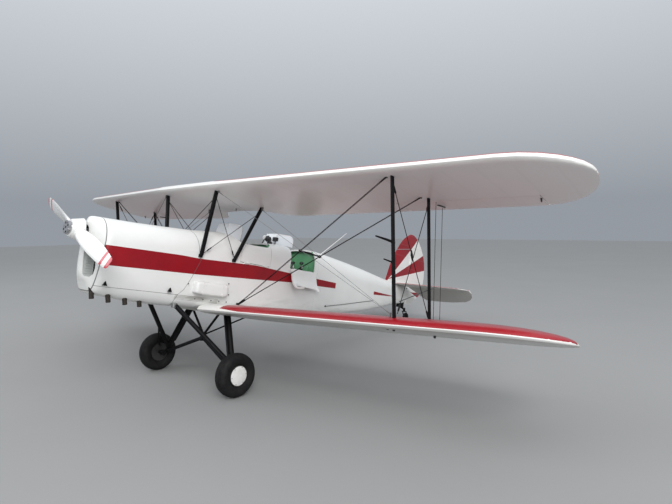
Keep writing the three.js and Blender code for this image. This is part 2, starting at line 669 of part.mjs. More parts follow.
// Wires of one wing cell: two flying wires tied by a spreader bar, and two landing wires
const ROOT_LUG = [362, 1757, -569];
const topLug = (i) => [2598, INTERPLANE[i].top[0], INTERPLANE[i].top[1] + 4];
const FOOT_LUG = [2598, INTERPLANE[0].foot[0], INTERPLANE[0].foot[1] + 52];
const cabaneLug = (i) => [556, CABANE[i].top[0], i ? 608 : 664];
const SPREADER = 0.495;
const wire = (a, b) => rod(a, b, WIRE_R, 6);
const plateUp = (p, top = 90) => box(p[0] - 14, p[0] + 20, p[1] - 9, p[1] + 9, p[2] - 12, p[2] + top);
const plateDown = (p) => box(p[0] - 14, p[0] + 20, p[1] - 9, p[1] + 9, p[2] - 90, p[2] + 12);
const bar0 = mix3(ROOT_LUG, topLug(0), SPREADER);
const bar1 = mix3(ROOT_LUG, topLug(1), SPREADER);
const flyingWires = union(
  wire(ROOT_LUG, topLug(0)),
  wire(ROOT_LUG, topLug(1)),
  rod([bar0[0], bar0[1] - 14, bar0[2]], [bar1[0], bar1[1] + 14, bar1[2]], 9, 8),
  plateUp(topLug(0), 64),
  plateUp(topLug(1), 64),
  box(338, 376, ROOT_LUG[1] - 16, ROOT_LUG[1] + 16, ROOT_LUG[2] - 14, ROOT_LUG[2] + 14),
);
const landingWires = union(
  wire(cabaneLug(0), FOOT_LUG),
  wire(cabaneLug(1), FOOT_LUG),
  plateUp(cabaneLug(0)),
  plateUp(cabaneLug(1)),
  plateDown(FOOT_LUG),
);
const strutClear = union(
  ...INTERPLANE.map((s) =>
    strut([INTERPLANE_X, s.top[0], s.top[1] + 20], [INTERPLANE_X, s.foot[0], s.foot[1] - 60], STRUT_CHORD + 1, STRUT_THICK + 1),
  ),
  ...CABANE.map((c) =>
    strut([CABANE_TOP_X, c.top[0], c.top[1] + 60], [378, c.foot[0], c.foot[1]], CABANE_CHORD + 1, CABANE_THICK + 1),
  ),
);

// Outline of the tailplane, in sections across the span: x, leading edge, thickness
const lens = (y0, y1, t, x, z) => {
  const out = [];
  const shape = [[0, 0], [0.06, 0.5], [0.25, 0.86], [0.55, 1], [1, 0.82]];
  for (const [f, h] of shape) out.push([x, mix(y0, y1, f), z + (h * t) / 2]);
  for (const [f, h] of shape.slice(1).reverse()) out.push([x, mix(y0, y1, f), z - (h * t) / 2]);
  return out;
};
const TAILPLANE = [
  [0, 5500, 44], [300, 5560, 44], [800, 5655, 40], [1120, 5725, 34], [1245, 5795, 28], [1320, 5885, 20], [1352, 5980, 12],
];
const tailRear = ELEVATOR_Y - 20 - 8;
const tailRings = [...TAILPLANE].reverse().map(([x, le, t]) => lens(le, tailRear, t, -x, TAILPLANE_Z));
for (const [x, le, t] of TAILPLANE.slice(1)) tailRings.push(lens(le, tailRear, t, x, TAILPLANE_Z));
const tailClear = union(
  loft(tailRings.map((ring) => ring.map(([x, y, z]) => [x, y, z + (z > TAILPLANE_Z ? GAP : -GAP)]))),
  box(-12, 12, 5490, 5700, TAILPLANE_Z - 20, TAILPLANE_Z + 22 + GAP),
);

// Both sides of what comes in pairs
const tailStrut = strut([700, 5960, 92], [40, 5830, -240], 34, 16)
  .subtract(clearOfBody)
  .subtract(tailClear);
const pairs = [
  ["upper_wing", upperPanel, "fabric"],
  ["lower_wing", lowerPanel, "fabric"],
  ["aileron_upper", upperAileron, "fabric"],
  ["aileron_lower", lowerAileron, "fabric"],
  ["cabane_front", cabane(CABANE[0]), "black"],
  ["cabane_rear", cabane(CABANE[1]), "black"],
  ["interplane_front", interplane(INTERPLANE[0]), "black"],
  ["interplane_rear", interplane(INTERPLANE[1]), "black"],
  ["flying_wires", seated(flyingWires).subtract(strutClear), "steel"],
  ["landing_wires", seated(landingWires).subtract(strutClear), "steel"],
  ["gear_leg", gearFree, "black"],
  ["tail_strut", tailStrut, "black"],
  ["tyre", tyre, "rubber"],
  ["wheel", hub, "white"],
];
for (const [name, solid, look] of pairs) {
  add(name + "_left", solid, look);
  add(name + "_right", mirror(solid), look);
}
add("gear_pylon", pylon, "black");

// Aft fuselage, solid, cut away under the tailplane
let aft = outer.intersect(box(-600, 600, 3130 + 1, 7000, -900, 900));
aft = aft.subtract(box(-600, 600, 5490, 7000, TAILPLANE_Z - TAILPLANE_T / 2 - GAP, 900));
aft = aft.subtract(box(-600, 600, 6048, 7000, TAILPLANE_Z - 34, 900));

// Tailplane, elevators, fin and rudder
const tailBrackets = [-1100, -250, 250, 1100].map((x) =>
  box(x - 8, x + 8, tailRear - 10, ELEVATOR_Y - 18 - GAP, TAILPLANE_Z - 9, TAILPLANE_Z + 9),
);
const tailplane = union(loft(tailRings), ...tailBrackets);
add("tailplane", tailplane, "fabric");

const ELEVATOR = [[70, 6150], [240, 6615], [420, 6620], [800, 6600], [1120, 6525], [1245, 6430], [1322, 6310], [1350, 6200]];
const flap = (x, y0, z0, te, nose) => {
  const out = [];
  for (let i = 0; i <= 6; i++) {
    const a = rad(100 + (160 * i) / 6);
    out.push([x, y0 + nose * Math.cos(a), z0 + nose * Math.sin(a)]);
  }
  out.push([x, te, z0 - 3], [x, te, z0 + 3]);
  return out;
};
const elevatorHalf = loft(
  ELEVATOR.map(([x, te], i) => flap(x, ELEVATOR_Y, TAILPLANE_Z, te, i > 4 ? 14 : 18)),
);
const torque = rod([-90, ELEVATOR_Y, TAILPLANE_Z], [90, ELEVATOR_Y, TAILPLANE_Z], 11, 16);
const elevatorFlat = union(elevatorHalf, mirror(elevatorHalf), torque);
add("elevators", turn(elevatorFlat, [0, ELEVATOR_Y, TAILPLANE_Z], [1, 0, 0], -ELEVATOR_DROOP), "fabric");

const lensUp = (y0, y1, t, z) => lens(y0, y1, t, z, 0).map(([a, b, c]) => [c, b, a]);
const FIN = [[90, 5360, 40], [150, 5378, 40], [400, 5462, 40], [530, 5516, 40], [660, 5590, 40], [773, 5663, 40], [840, 5717, 40]];
const finRear = RUDDER_Y - RUDDER_NOSE - 8;
const seamAt = (y) => mix(SEAM[0][1], SEAM[1][1], (y - SEAM[0][0]) / (SEAM[1][0] - SEAM[0][0]));
const finBrackets = [260, 640].map((z) => box(-8, 8, finRear - 10, RUDDER_Y - RUDDER_NOSE - GAP, z - 9, z + 9));
const aftClear = union(
  evenSided(body(GAP, 3200, 6108)).subtract(box(-600, 600, 5490 + GAP, 7000, TAILPLANE_Z - 30, 900)),
  box(-300, 300, 5480, 7000, -900, TAILPLANE_Z + TAILPLANE_T / 2 + GAP),
);
const fin = union(loft(FIN.map(([z, le, t]) => lensUp(le, finRear, t, z))), ...finBrackets)
  .subtract(aftClear)
  .subtract(box(-100, 100, 6040, 6400, -200, TAILPLANE_Z + 34))
  .subtract(prism("x", [[5000, seamAt(5000)], [6300, seamAt(6300)], [6300, 1500], [5000, 1500]], -60, 60));
add("fin", fin, "fabric");

const RUDDER_TE = [
  [-250, 6262], [-235, 6330], [-170, 6462], [-90, 6592], [0, 6680], [100, 6730], [217, 6757], [350, 6764],
  [486, 6757], [641, 6722], [775, 6655], [845, 6604],
];
const RUDDER_TOP = [
  [745, 5644, 6672], [800, 5688, 6636], [870, 5738, 6586], [947, 5806, 6522], [1010, 5876, 6452], [1065, 5958, 6374],
  [1105, 6030, 6300], [1130, 6090, 6230],
];
const rudderRing = ([z, te]) => {
  const ring = flap(0, RUDDER_Y, 0, te, RUDDER_NOSE);
  return ring.map(([, y, h]) => [h, y, z]);
};
const rudderHorn = loft(RUDDER_TOP.map(([z, le, te]) => {
  const t = z > 1100 ? 18 : z > 1000 ? 28 : 36;
  const half = [[0, 0], [0.08, 0.55], [0.3, 0.95], [0.48, 1], [1, 0.12]];
  const out = [];
  for (const [f, h] of half) out.push([(h * t) / 2, mix(le, te, f), z]);
  for (const [f, h] of half.slice(1).reverse()) out.push([(-h * t) / 2, mix(le, te, f), z]);
  return out;
}));
const hornFloor = [
  [5000, seamAt(5000) + SEAM_GAP], [RUDDER_Y, seamAt(RUDDER_Y) + SEAM_GAP], [RUDDER_Y, 600], [5000, 600],
];
const horn = rudderHorn.subtract(prism("x", [...hornFloor].reverse(), -60, 60));
let rudder = union(loft(RUDDER_TE.map(rudderRing)), horn);
rudder = rudder.subtract(box(-60, 60, RUDDER_Y - 40, RUDDER_Y + 6, TAILPLANE_Z - 60, TAILPLANE_Z + 60));
add("rudder", rudder, "fabric");

const postBracket = box(-8, 8, 6060, RUDDER_Y - RUDDER_NOSE - GAP, -150, -132);
add("fuselage_aft", union(aft, postBracket), "fabric");

// Tail wheel on a swivelling fork
const SWIVEL_AXIS = [0, -Math.sin(rad(GROUND_ANGLE)), Math.cos(rad(GROUND_ANGLE))];
const along = (d) => [0, TAIL_SWIVEL_Y + SWIVEL_AXIS[1] * d, TAIL_SWIVEL_Z + SWIVEL_AXIS[2] * d];
const TAIL_AXLE = [0, TAIL_WHEEL_Y, groundZ(TAIL_WHEEL_Y, TAIL_WHEEL_R)];
const tailLeg = union(
  box(-24, 24, 5880, 6070, -330, -200),
  rod([0, 5990, -320], along(28), 17, 12),
  rod(along(6), along(52), 24, 16),
).subtract(clearOfBody);
add("tail_leg", tailLeg, "black");
const ARM_X = TAIL_WHEEL_W / 2 + 13;
const crown = along(-14);
const tailFork = union(
  rod(along(6 - GAP), along(-22), 24, 16),
  box(-ARM_X - 5, ARM_X + 5, crown[1] - 18, crown[1] + 22, crown[2] - 12, crown[2] + 6),
  ...[-1, 1].map((s) => strut([s * ARM_X, crown[1] + 6, crown[2]], [s * ARM_X, TAIL_AXLE[1], TAIL_AXLE[2] - 14], 30, 9)),
  rod([-ARM_X - 2, TAIL_AXLE[1], TAIL_AXLE[2]], [ARM_X + 2, TAIL_AXLE[1], TAIL_AXLE[2]], 9, 14),
);
add("tail_fork", tailFork, "black");
const tailWheelProfile = [
  [10, -20], [34, -22], [60, -26], [76, -20], [TAIL_WHEEL_R, 0], [76, 20], [60, 26], [34, 22], [10, 20], [10, -20],
];
add("tail_wheel", lathe(tailWheelProfile, TAIL_AXLE, [1, 0, 0], 28), "rubber");

// Propeller: r, chord, thickness, pitch angle
const BLADE = [
  [20, 96, 66, 34], [110, 106, 56, 34], [200, 128, 40, 33], [350, 150, 28, 28], [520, 158, 21, 23],
  [700, 150, 16, 19], [820, 131, 12, 17], [890, 114, 10, 16], [918, 101, 8, 16], [PROP_R, 72, 6, 16],
];
function blade(sign) {
  const up = V([-Math.sin(rad(PROP_ANGLE)), 0, Math.cos(rad(PROP_ANGLE))]).multiplyScalar(sign);
  const across = new THREE.Vector3().crossVectors(V([0, 1, 0]), up);
  return loft(BLADE.map(([r, chord, thick, pitch]) => {
    const out = [];
    for (let i = 0; i < 12; i++) {
      const t = (2 * Math.PI * i) / 12;
      const u = (chord / 2) * Math.cos(t);
      const v = (thick / 2) * Math.sin(t);
      const p = V([0, PROP_Y, 0]).addScaledVector(up, r);
      p.addScaledVector(across, u * Math.cos(rad(pitch)) + v * Math.sin(rad(pitch)));
      p.y += -u * Math.sin(rad(pitch)) + v * Math.cos(rad(pitch));
      out.push(p.toArray());
    }
    return out;
  }));
}
const drumBack = DRUM[2][1];
const drumProfile = [[0, drumBack], [DRUM[2][0], drumBack], [DRUM[1][0], DRUM[1][1]], [DRUM[0][0], DRUM[0][1]], [0, DRUM[0][1]]];
const boss = lathe(drumProfile, [0, 0, 0], [0, 1, 0], 32);
const bore = rod([0, -400, 0], [0, 400, 0], SHAFT_R + GAP, 24);
add("propeller", union(blade(1), blade(-1), boss).subtract(bore), "wood");
const propHub = union(
  rod([0, PLATE_Y, 0], [0, DRUM[0][1] - GAP, 0], PLATE_R, 28),
  rod([0, drumBack + GAP, 0], [0, drumBack + 14, 0], 72, 28),
  rod([0, PLATE_Y + 10, 0], [0, 320, 0], SHAFT_R, 24),
);
add("prop_hub", propHub, "steel");

// Stand it on its wheels, with the middle of its outline over the origin
level.rotation.x = -rad(GROUND_ANGLE);
level.position.z = SHAFT_HEIGHT;
root.updateMatrixWorld(true);
const bounds = new THREE.Box3().setFromObject(root, true);
level.position.y = -(bounds.min.y + bounds.max.y) / 2;
level.position.z = SHAFT_HEIGHT - bounds.min.z;
root.updateMatrixWorld(true);

export default root;
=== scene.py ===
"""Looks of a two-seat training biplane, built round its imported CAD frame, in metres.

Places are written in the aeroplane's level frame: x to its left wing, y aft from the front of the engine
cowl, z up from the propeller shaft. level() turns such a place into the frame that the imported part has.
"""

import math

import bpy
from mathutils import Matrix, Vector


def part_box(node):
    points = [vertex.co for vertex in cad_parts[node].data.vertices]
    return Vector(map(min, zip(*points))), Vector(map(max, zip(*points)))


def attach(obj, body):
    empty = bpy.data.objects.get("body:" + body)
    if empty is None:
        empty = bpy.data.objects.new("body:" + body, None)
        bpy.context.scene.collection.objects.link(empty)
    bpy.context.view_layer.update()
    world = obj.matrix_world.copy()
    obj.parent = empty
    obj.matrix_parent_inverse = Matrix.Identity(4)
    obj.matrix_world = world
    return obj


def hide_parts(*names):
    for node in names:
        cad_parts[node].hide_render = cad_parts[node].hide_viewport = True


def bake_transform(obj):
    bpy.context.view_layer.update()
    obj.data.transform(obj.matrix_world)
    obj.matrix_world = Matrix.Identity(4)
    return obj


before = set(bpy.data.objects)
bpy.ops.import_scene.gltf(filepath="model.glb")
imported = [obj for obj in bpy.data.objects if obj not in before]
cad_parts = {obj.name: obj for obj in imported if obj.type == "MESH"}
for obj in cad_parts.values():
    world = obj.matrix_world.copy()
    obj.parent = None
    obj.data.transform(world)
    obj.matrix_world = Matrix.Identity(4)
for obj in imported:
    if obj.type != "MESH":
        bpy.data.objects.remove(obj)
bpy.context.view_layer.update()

# Stance: the main wheels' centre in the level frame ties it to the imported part
GROUND_ANGLE = math.radians(11.82)
WHEEL_CENTRE = (1.491, -1.33244)
TURN = Matrix.Rotation(-GROUND_ANGLE, 3, "X")


def middle(node):
    lo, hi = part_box(node)
    return (lo + hi) / 2


turned = TURN @ Vector((0, WHEEL_CENTRE[0], WHEEL_CENTRE[1]))
SHIFT = middle("tyre_left") - turned
SHIFT.x = 0


def level(x, y, z):
    return TURN @ Vector((x, y, z)) + SHIFT


# Camera: its place, turn and focal length come from matching the photograph
PHOTO_WIDTH = 672
EYE = Vector((5.077, -2.053 + SHIFT.y, 1.861))
YAW, PITCH, ROLL = (math.radians(a) for a in (-40.512, -2.889, -0.542))
FOCAL_PIXELS = 478.58


def make_camera():
    forward = Vector((math.sin(YAW) * math.cos(PITCH), math.cos(YAW) * math.cos(PITCH), math.sin(PITCH)))
    flat_right = Vector((math.cos(YAW), -math.sin(YAW), 0))
    flat_up = flat_right.cross(forward)
    right = flat_right * math.cos(ROLL) + flat_up * math.sin(ROLL)
    up = flat_up * math.cos(ROLL) - flat_right * math.sin(ROLL)
    data = bpy.data.cameras.new("camera")
    data.sensor_width = 36
    data.lens = data.sensor_width * FOCAL_PIXELS / PHOTO_WIDTH
    data.clip_end = 200
    camera = bpy.data.objects.new("camera", data)
    camera.matrix_world = Matrix((right, up, -forward)).transposed().to_4x4()
    camera.location = EYE
    bpy.context.scene.collection.objects.link(camera)
    bpy.context.scene.camera = camera


# Colours, linear
WHITE = (0.80, 0.80, 0.775, 1)
CREAM = (0.76, 0.75, 0.71, 1)
RED = (0.30, 0.0015, 0.008, 1)
BLACK = (0.005, 0.005, 0.0055, 1)
GREEN = (0.085, 0.285, 0.135, 1)
DEEP_RED = (0.235, 0.002, 0.009, 1)
GRIME = (0.16, 0.14, 0.11, 1)
SEAM = (0.11, 0.11, 0.11, 1)
TAPE = (0.30, 0.29, 0.27, 1)
SHADED_CLOTH = (0.50, 0.485, 0.45, 1)
FLAT_WHITE = tuple(0.955 * c for c in WHITE[:3]) + (1,)


class Shader:
    """A node material in the making: one Principled shader fed by procedural nodes in the level frame."""

    def __init__(self, name, roughness=0.4, metallic=0.0, coat=0.0, coat_roughness=0.1):
        self.material = bpy.data.materials.new(name)
        self.material.use_nodes = True
        self.tree = self.material.node_tree
        self.tree.nodes.clear()
        self.bsdf = self.new("ShaderNodeBsdfPrincipled")
        self.bsdf.inputs["Roughness"].default_value = roughness
        self.bsdf.inputs["Metallic"].default_value = metallic
        self.bsdf.inputs["Coat Weight"].default_value = coat
        self.bsdf.inputs["Coat Roughness"].default_value = coat_roughness
        out = self.new("ShaderNodeOutputMaterial")
        self.tree.links.new(self.bsdf.outputs[0], out.inputs[0])
        self.texture = self.new("ShaderNodeTexCoord")
        self.object = self.texture.outputs["Object"]
        self._level = None

    def new(self, kind, **settings):
        node = self.tree.nodes.new(kind)
        for key, value in settings.items():
            setattr(node, key, value)
        return node

    def put(self, socket, value):
        if isinstance(value, bpy.types.NodeSocket):
            self.tree.links.new(value, socket)
        else:
            socket.default_value = value

    def math(self, operation, a, b=0.0, c=0.0):
        node = self.new("ShaderNodeMath", operation=operation)
        for socket, value in zip(node.inputs, (a, b, c)):
            self.put(socket, value)
        return node.outputs[0]

    def both(self, *masks):
        out = masks[0]
        for mask in masks[1:]:
            out = self.math("MULTIPLY", out, mask)
        return out

    def either(self, *masks):
        out = masks[0]
        for mask in masks[1:]:
            out = self.math("MAXIMUM", out, mask)
        return out

    def mix(self, factor, a, b):
        node = self.new("ShaderNodeMix", data_type="RGBA")
        self.put(node.inputs[0], factor)
        self.put(node.inputs[6], a)
        self.put(node.inputs[7], b)
        return node.outputs[2]

    def axes(self):
        """x, y, z sockets of the point in the level frame."""
        if self._level is None:
            back = Matrix.Rotation(GROUND_ANGLE, 3, "X")
            mapping = self.new("ShaderNodeMapping")
            mapping.inputs["Rotation"].default_value = (GROUND_ANGLE, 0, 0)
            mapping.inputs["Location"].default_value = -(back @ SHIFT)
            self.tree.links.new(self.object, mapping.inputs[0])
            split = self.new("ShaderNodeSeparateXYZ")
            self.tree.links.new(mapping.outputs[0], split.inputs[0])
            self._level = split.outputs
        return self._level

    def upward(self, least=0.05):
        """1 where the surface faces up."""
        split = self.new("ShaderNodeSeparateXYZ")
        self.tree.links.new(self.texture.outputs["Normal"], split.inputs[0])
        return self.math("GREATER_THAN", split.outputs[2], least)

    def noise(self, scale, detail=3.0, roughness=0.55, stretch=None):
        node = self.new("ShaderNodeTexNoise")
        node.inputs["Scale"].default_value = scale
        node.inputs["Detail"].default_value = detail
        node.inputs["Roughness"].default_value = roughness
        source = self.object
        if stretch:
            mapping = self.new("ShaderNodeMapping")
            mapping.inputs["Scale"].default_value = stretch
            self.tree.links.new(source, mapping.inputs[0])
            source = mapping.outputs[0]
        self.tree.links.new(source, node.inputs["Vector"])
        return node.outputs[0]

    def spread(self, value, low, high, to_low=0.0, to_high=1.0):
        node = self.new("ShaderNodeMapRange")
        self.put(node.inputs[0], value)
        for i, number in enumerate((low, high, to_low, to_high)):
            node.inputs[i + 1].default_value = number
        return node.outputs[0]

    def follow(self, value, points):
        """Straight-line interpolation through (value, result) points."""
        xs = [p[0] for p in points]
        ys = [p[1] for p in points]
        x0, x1, y0, y1 = min(xs), max(xs), min(ys), max(ys)
        node = self.new("ShaderNodeFloatCurve")
        curve = node.mapping.curves[0]
        while len(curve.points) > 2:
            curve.points.remove(curve.points[1])
        shares = [((x - x0) / (x1 - x0), (y - y0) / (y1 - y0)) for x, y in points]
        curve.points[0].location = shares[0]
        curve.points[1].location = shares[-1]
        for share in shares[1:-1]:
            curve.points.new(*share)
        for point in curve.points:
            point.handle_type = "VECTOR"
        node.mapping.update()
        self.put(node.inputs["Value"], self.spread(value, x0, x1))
        return self.spread(node.outputs[0], 0, 1, y0, y1)

    def near(self, value, target, reach):
        """1 within reach of the target."""
        return self.math("LESS_THAN", self.math("ABSOLUTE", self.math("SUBTRACT", value, target)), reach)

    def over(self, a, b):
        return self.math("GREATER_THAN", a, b)

    def bump(self, height, distance, strength=1.0):
        node = self.new("ShaderNodeBump")
        node.inputs["Distance"].default_value = distance
        node.inputs["Strength"].default_value = strength
        self.put(node.inputs["Height"], height)
        self.tree.links.new(node.outputs[0], self.bsdf.inputs["Normal"])

    def cloth(self, ridge, strength=0.6):
        """Ridges over the ribs, and the weave."""
        weave = self.math("MULTIPLY", self.noise(900, 1), 0.04)
        self.bump(self.math("ADD", ridge, weave), 0.002, strength)

    def colour(self, value):
        self.put(self.bsdf.inputs["Base Color"], value)

    def rough(self, scale, detail, low, high):
        """Roughness that drifts between two values."""
        self.put(self.bsdf.inputs["Roughness"], self.spread(self.noise(scale, detail), 0.3, 0.7, low, high))


# Red stripe along the body, as (y, z) points of its upper and lower edge
STRIPE_TOP = [
    (0.07, -0.122), (0.884, -0.097), (1.15, -0.100), (1.967, -0.062), (2.609, -0.083), (3.60, -0.105),
]
STRIPE_LOW = [(0.07, -0.322), (1.095, -0.285), (2.632, -0.205), (3.60, -0.189)]
STRIPE_Y = (0.09, 3.60)
DART_TIP = (5.64, -0.150)
DART_BASE = (4.745, -0.126, -0.183)

# Seams of the engine cowl, as (z, y) points from the bottom up
BOWL_SEAM = [(-0.90, 0.0745), (-0.535, 0.0765), (-0.10, 0.0895), (0.60, 0.0915)]
COWL_REAR = [
    (-0.90, 0.905), (-0.60, 0.930), (-0.53, 0.950), (-0.475, 1.005), (-0.354, 1.060), (-0.12, 1.150),
    (-0.02, 1.112), (0.20, 1.080), (0.60, 1.062),
]
PAN_TOP = -0.5355


def body_paint(name, seams="", fabric=False, striped=True):
    """White paint with the stripe. Its seams are those of the cowl, or only the line behind it."""
    s = Shader(name, 0.34, coat=0.15, coat_roughness=0.12)
    s.bsdf.inputs["Specular IOR Level"].default_value = 0.35
    x, y, z = s.axes()
    below = s.over(s.follow(y, STRIPE_TOP), z)
    above = s.over(z, s.follow(y, STRIPE_LOW))
    along = s.both(s.over(y, STRIPE_Y[0]), s.over(STRIPE_Y[1], y))
    stripe = s.both(below, above, along, 1.0 if striped else 0.0)
    if fabric:
        share = s.spread(y, DART_BASE[0], DART_TIP[0])
        upper = s.spread(share, 0, 1, DART_BASE[1], DART_TIP[1])
        lower = s.spread(share, 0, 1, DART_BASE[2], DART_TIP[1])
        dart = s.both(s.over(upper, z), s.over(z, lower), s.over(y, DART_BASE[0]), s.over(DART_TIP[0], y))
        stripe = s.either(stripe, dart)
    cloud = s.noise(3.5, 4)
    tone = s.spread(cloud, 0.3, 0.7, 0.0, 1.0)
    white = s.mix(tone, WHITE, FLAT_WHITE)
    red = s.mix(tone, RED, DEEP_RED)
    colour = s.mix(stripe, white, red)
    streaks = s.noise(9, 5, 0.65, (1, 0.18, 1))
    low = s.spread(z, -0.36, -0.60)
    dirt = s.both(s.spread(streaks, 0.52, 0.78), low, s.spread(y, 0.7, 1.2, 0.25, 1.0))
    colour = s.mix(s.math("MULTIPLY", dirt, 0.45), colour, GRIME)
    soot = s.both(s.near(z, -0.562, 0.030), s.near(y, 1.20, 0.28), s.spread(streaks, 0.40, 0.62))
    colour = s.mix(s.math("MULTIPLY", soot, 0.55), colour, GRIME)
    if seams:
        lines = s.near(y, s.follow(z, COWL_REAR), 0.0028)
        if seams == "cowl":
            bowl = s.near(y, s.follow(z, BOWL_SEAM), 0.0034)
            pan = s.both(s.near(z, PAN_TOP, 0.0024), s.over(y, 0.077))
            lines = s.either(lines, bowl, pan)
        colour = s.mix(s.math("MULTIPLY", lines, 0.85), colour, SEAM)
    s.colour(colour)
    s.rough(30, 3, 0.28, 0.42)
    s.bump(s.noise(5.0, 2), 0.004 if not fabric else 0.003, 0.35)
    return s.material


# Wing planforms, as in the part's source: the line of the leading edge and how the tip rounds off
UPPER = dict(x0=0.520, y0=0.965, sweep=8.85, chord=1.227, half=4.193, tip=0.615, lead=0.38)
LOWER = dict(x0=0.600, y0=1.282, sweep=8.64, chord=1.222, half=4.060, tip=0.730, lead=0.44)
TIP_STATIONS = (15, 29, 42, 54, 65, 75, 84)
RIB_PITCH = 0.285


def leading_edge(wing):
    """(|x|, y) points along the leading edge to the tip."""
    start = wing["half"] - wing["tip"]
    points = []
    for x in (0.0, wing["x0"], start):
        points.append((x, wing["y0"] + max(x - wing["x0"], 0) * math.tan(math.radians(wing["sweep"]))))
    for station in TIP_STATIONS:
        x = start + wing["tip"] * math.sin(math.radians(station))
        lost = wing["chord"] * (1 - math.cos(math.radians(station)))
        y = wing["y0"] + (x - wing["x0"]) * math.tan(math.radians(wing["sweep"])) + lost * wing["lead"]
        points.append((x, y))
    return points


def wing_fabric(name, wing, band, inner, under):
    """Doped fabric over ribs: red above, behind a white band along the leading edge, and the colour under
    below, which for the lower wing is a painted shade.
    """
    s = Shader(name, 0.34, coat=0.35, coat_roughness=0.14)
    x, y, z = s.axes()
    out = s.math("ABSOLUTE", x)
    back = s.math("SUBTRACT", y, s.follow(out, leading_edge(wing)))
    fade = s.spread(out, inner, inner + 0.28, band + 0.010, band)
    red_side = s.both(s.upward(0.02), s.over(back, fade), s.over(out, inner))
    cloud = s.noise(2.2, 4)
    white = s.mix(s.spread(cloud, 0.3, 0.7), WHITE, CREAM)
    # faces looking down behind the leading edge take the colour under; on the lower wing that grey is painted
    # shade
    white = s.mix(s.both(s.over(back, 0.03), s.math("SUBTRACT", 1.0, s.upward(-0.2))), white, under)
    red = s.mix(s.spread(cloud, 0.3, 0.7), (0.33, 0.003, 0.012, 1), RED)
    colour = s.mix(red_side, white, red)
    rib = s.math("PINGPONG", s.math("ADD", out, 0.02), RIB_PITCH / 2)
    tape = s.math("LESS_THAN", rib, 0.012)
    on_cloth = s.both(tape, s.over(back, 0.12))
    colour = s.mix(s.math("MULTIPLY", on_cloth, 0.035), colour, TAPE)
    s.colour(colour)
    s.rough(60, 2, 0.30, 0.44)
    crown = s.spread(rib, 0.0, 0.05, 1.0, 0.0)
    s.cloth(s.both(crown, s.spread(back, 0.05, 0.25)), 0.45)
    return s.material


# Bands on the fin and rudder: three lines as pairs of (y, z) points, with red over the first one and
# between the other two
TAIL_LINES = [
    ((5.724, 0.423), (6.373, 1.065)), ((5.749, 0.317), (6.629, 0.775)), ((5.771, 0.240), (6.756, 0.486)),
]
LOW_WEDGE = [((6.278, -0.010), (6.501, 0.005)), ((6.278, -0.010), (6.538, -0.077))]


def tail_fabric(name):
    s = Shader(name, 0.34, coat=0.3, coat_roughness=0.15)
    x, y, z = s.axes()

    def above(line):
        (ya, za), (yb, zb) = line
        slope = (zb - za) / (yb - ya)
        height = s.math("MULTIPLY_ADD", y, slope, za - slope * ya)
        return s.over(z, height)

    def not_(mask):
        return s.math("SUBTRACT", 1.0, mask)

    first, second, third = (above(line) for line in TAIL_LINES)
    wedge = s.both(not_(above(LOW_WEDGE[0])), above(LOW_WEDGE[1]), s.over(y, 6.28))
    red_side = s.either(first, s.both(not_(second), third), wedge)
    cloud = s.spread(s.noise(3, 4), 0.3, 0.7)
    colour = s.mix(red_side, s.mix(cloud, WHITE, CREAM), s.mix(cloud, RED, DEEP_RED))
    rib = s.math("PINGPONG", z, 0.11)
    tape = s.math("LESS_THAN", rib, 0.009)
    s.colour(s.mix(s.math("MULTIPLY", tape, 0.07), colour, TAPE))
    s.cloth(s.spread(rib, 0, 0.03, 1, 0))
    s.rough(50, 2, 0.28, 0.42)
    return s.material


# Front border of the red on the tailplane, as (|x|, y) points
TAILPLANE_BORDER = [(0, 5.50), (0.30, 5.56), (0.80, 5.655), (1.12, 5.725), (1.245, 5.795), (1.352, 5.98)]


def tailplane_fabric(name):
    s = Shader(name, 0.36, coat=0.25, coat_roughness=0.2)
    x, y, z = s.axes()
    out = s.math("ABSOLUTE", x)
    edge = s.follow(out, TAILPLANE_BORDER)
    red_side = s.both(s.upward(), s.over(s.math("SUBTRACT", y, edge), 0.006), s.over(out, 0.14))
    cloud = s.spread(s.noise(3, 4), 0.3, 0.7)
    under = s.math("SUBTRACT", 1.0, s.upward(-0.2))
    # the tailplane's downward faces in grey: painted shade
    pale = s.mix(under, s.mix(cloud, WHITE, CREAM), SHADED_CLOTH)
    colour = s.mix(red_side, pale, RED)
    rib = s.math("PINGPONG", out, 0.12)
    s.colour(s.mix(s.math("MULTIPLY", s.math("LESS_THAN", rib, 0.01), 0.08), colour, TAPE))
    s.cloth(s.spread(rib, 0, 0.03, 1, 0))
    return s.material


def plain(name, colour, other, roughness, metallic=0.0, coat=0.0, scale=12.0, bump=0.0006, bump_scale=150,
          specular=0.5):
    """One colour that drifts to a second one, with fine bump."""
    s = Shader(name, roughness, metallic, coat)
    s.bsdf.inputs["Specular IOR Level"].default_value = specular
    drift = s.spread(s.noise(scale, 4), 0.32, 0.68)
    s.colour(s.mix(drift, colour, other))
    s.rough(scale * 3, 3, roughness * 0.8, min(roughness * 1.25, 1))
    s.bump(s.noise(bump_scale, 3), bump, 0.5)
    return s.material


# Bands at the blade tips, as distances from the shaft
TIP_BANDS = [(0.772, 0.815), (0.882, 1.2)]
TIP_RED = (0.55, 0.06, 0.08, 1)


def propeller_paint():
    s = Shader("propeller_white", 0.22, coat=0.6, coat_roughness=0.05)
    x, y, z = s.axes()
    far = s.math("SQRT", s.math("ADD", s.math("MULTIPLY", x, x), s.math("MULTIPLY", z, z)))
    bands = [s.both(s.over(far, a), s.over(b, far)) for a, b in TIP_BANDS]
    cloud = s.spread(s.noise(7, 4), 0.3, 0.7)
    white = s.mix(cloud, (0.83, 0.83, 0.81, 1), (0.77, 0.77, 0.74, 1))
    colour = s.mix(s.either(*bands), white, TIP_RED)
    chips = s.both(s.over(s.noise(160, 4, 0.7), 0.66), s.over(far, 0.3))
    s.colour(s.mix(s.math("MULTIPLY", chips, 0.5), colour, (0.35, 0.33, 0.30, 1)))
    s.bump(s.noise(40, 2), 0.0004, 0.3)
    return s.material


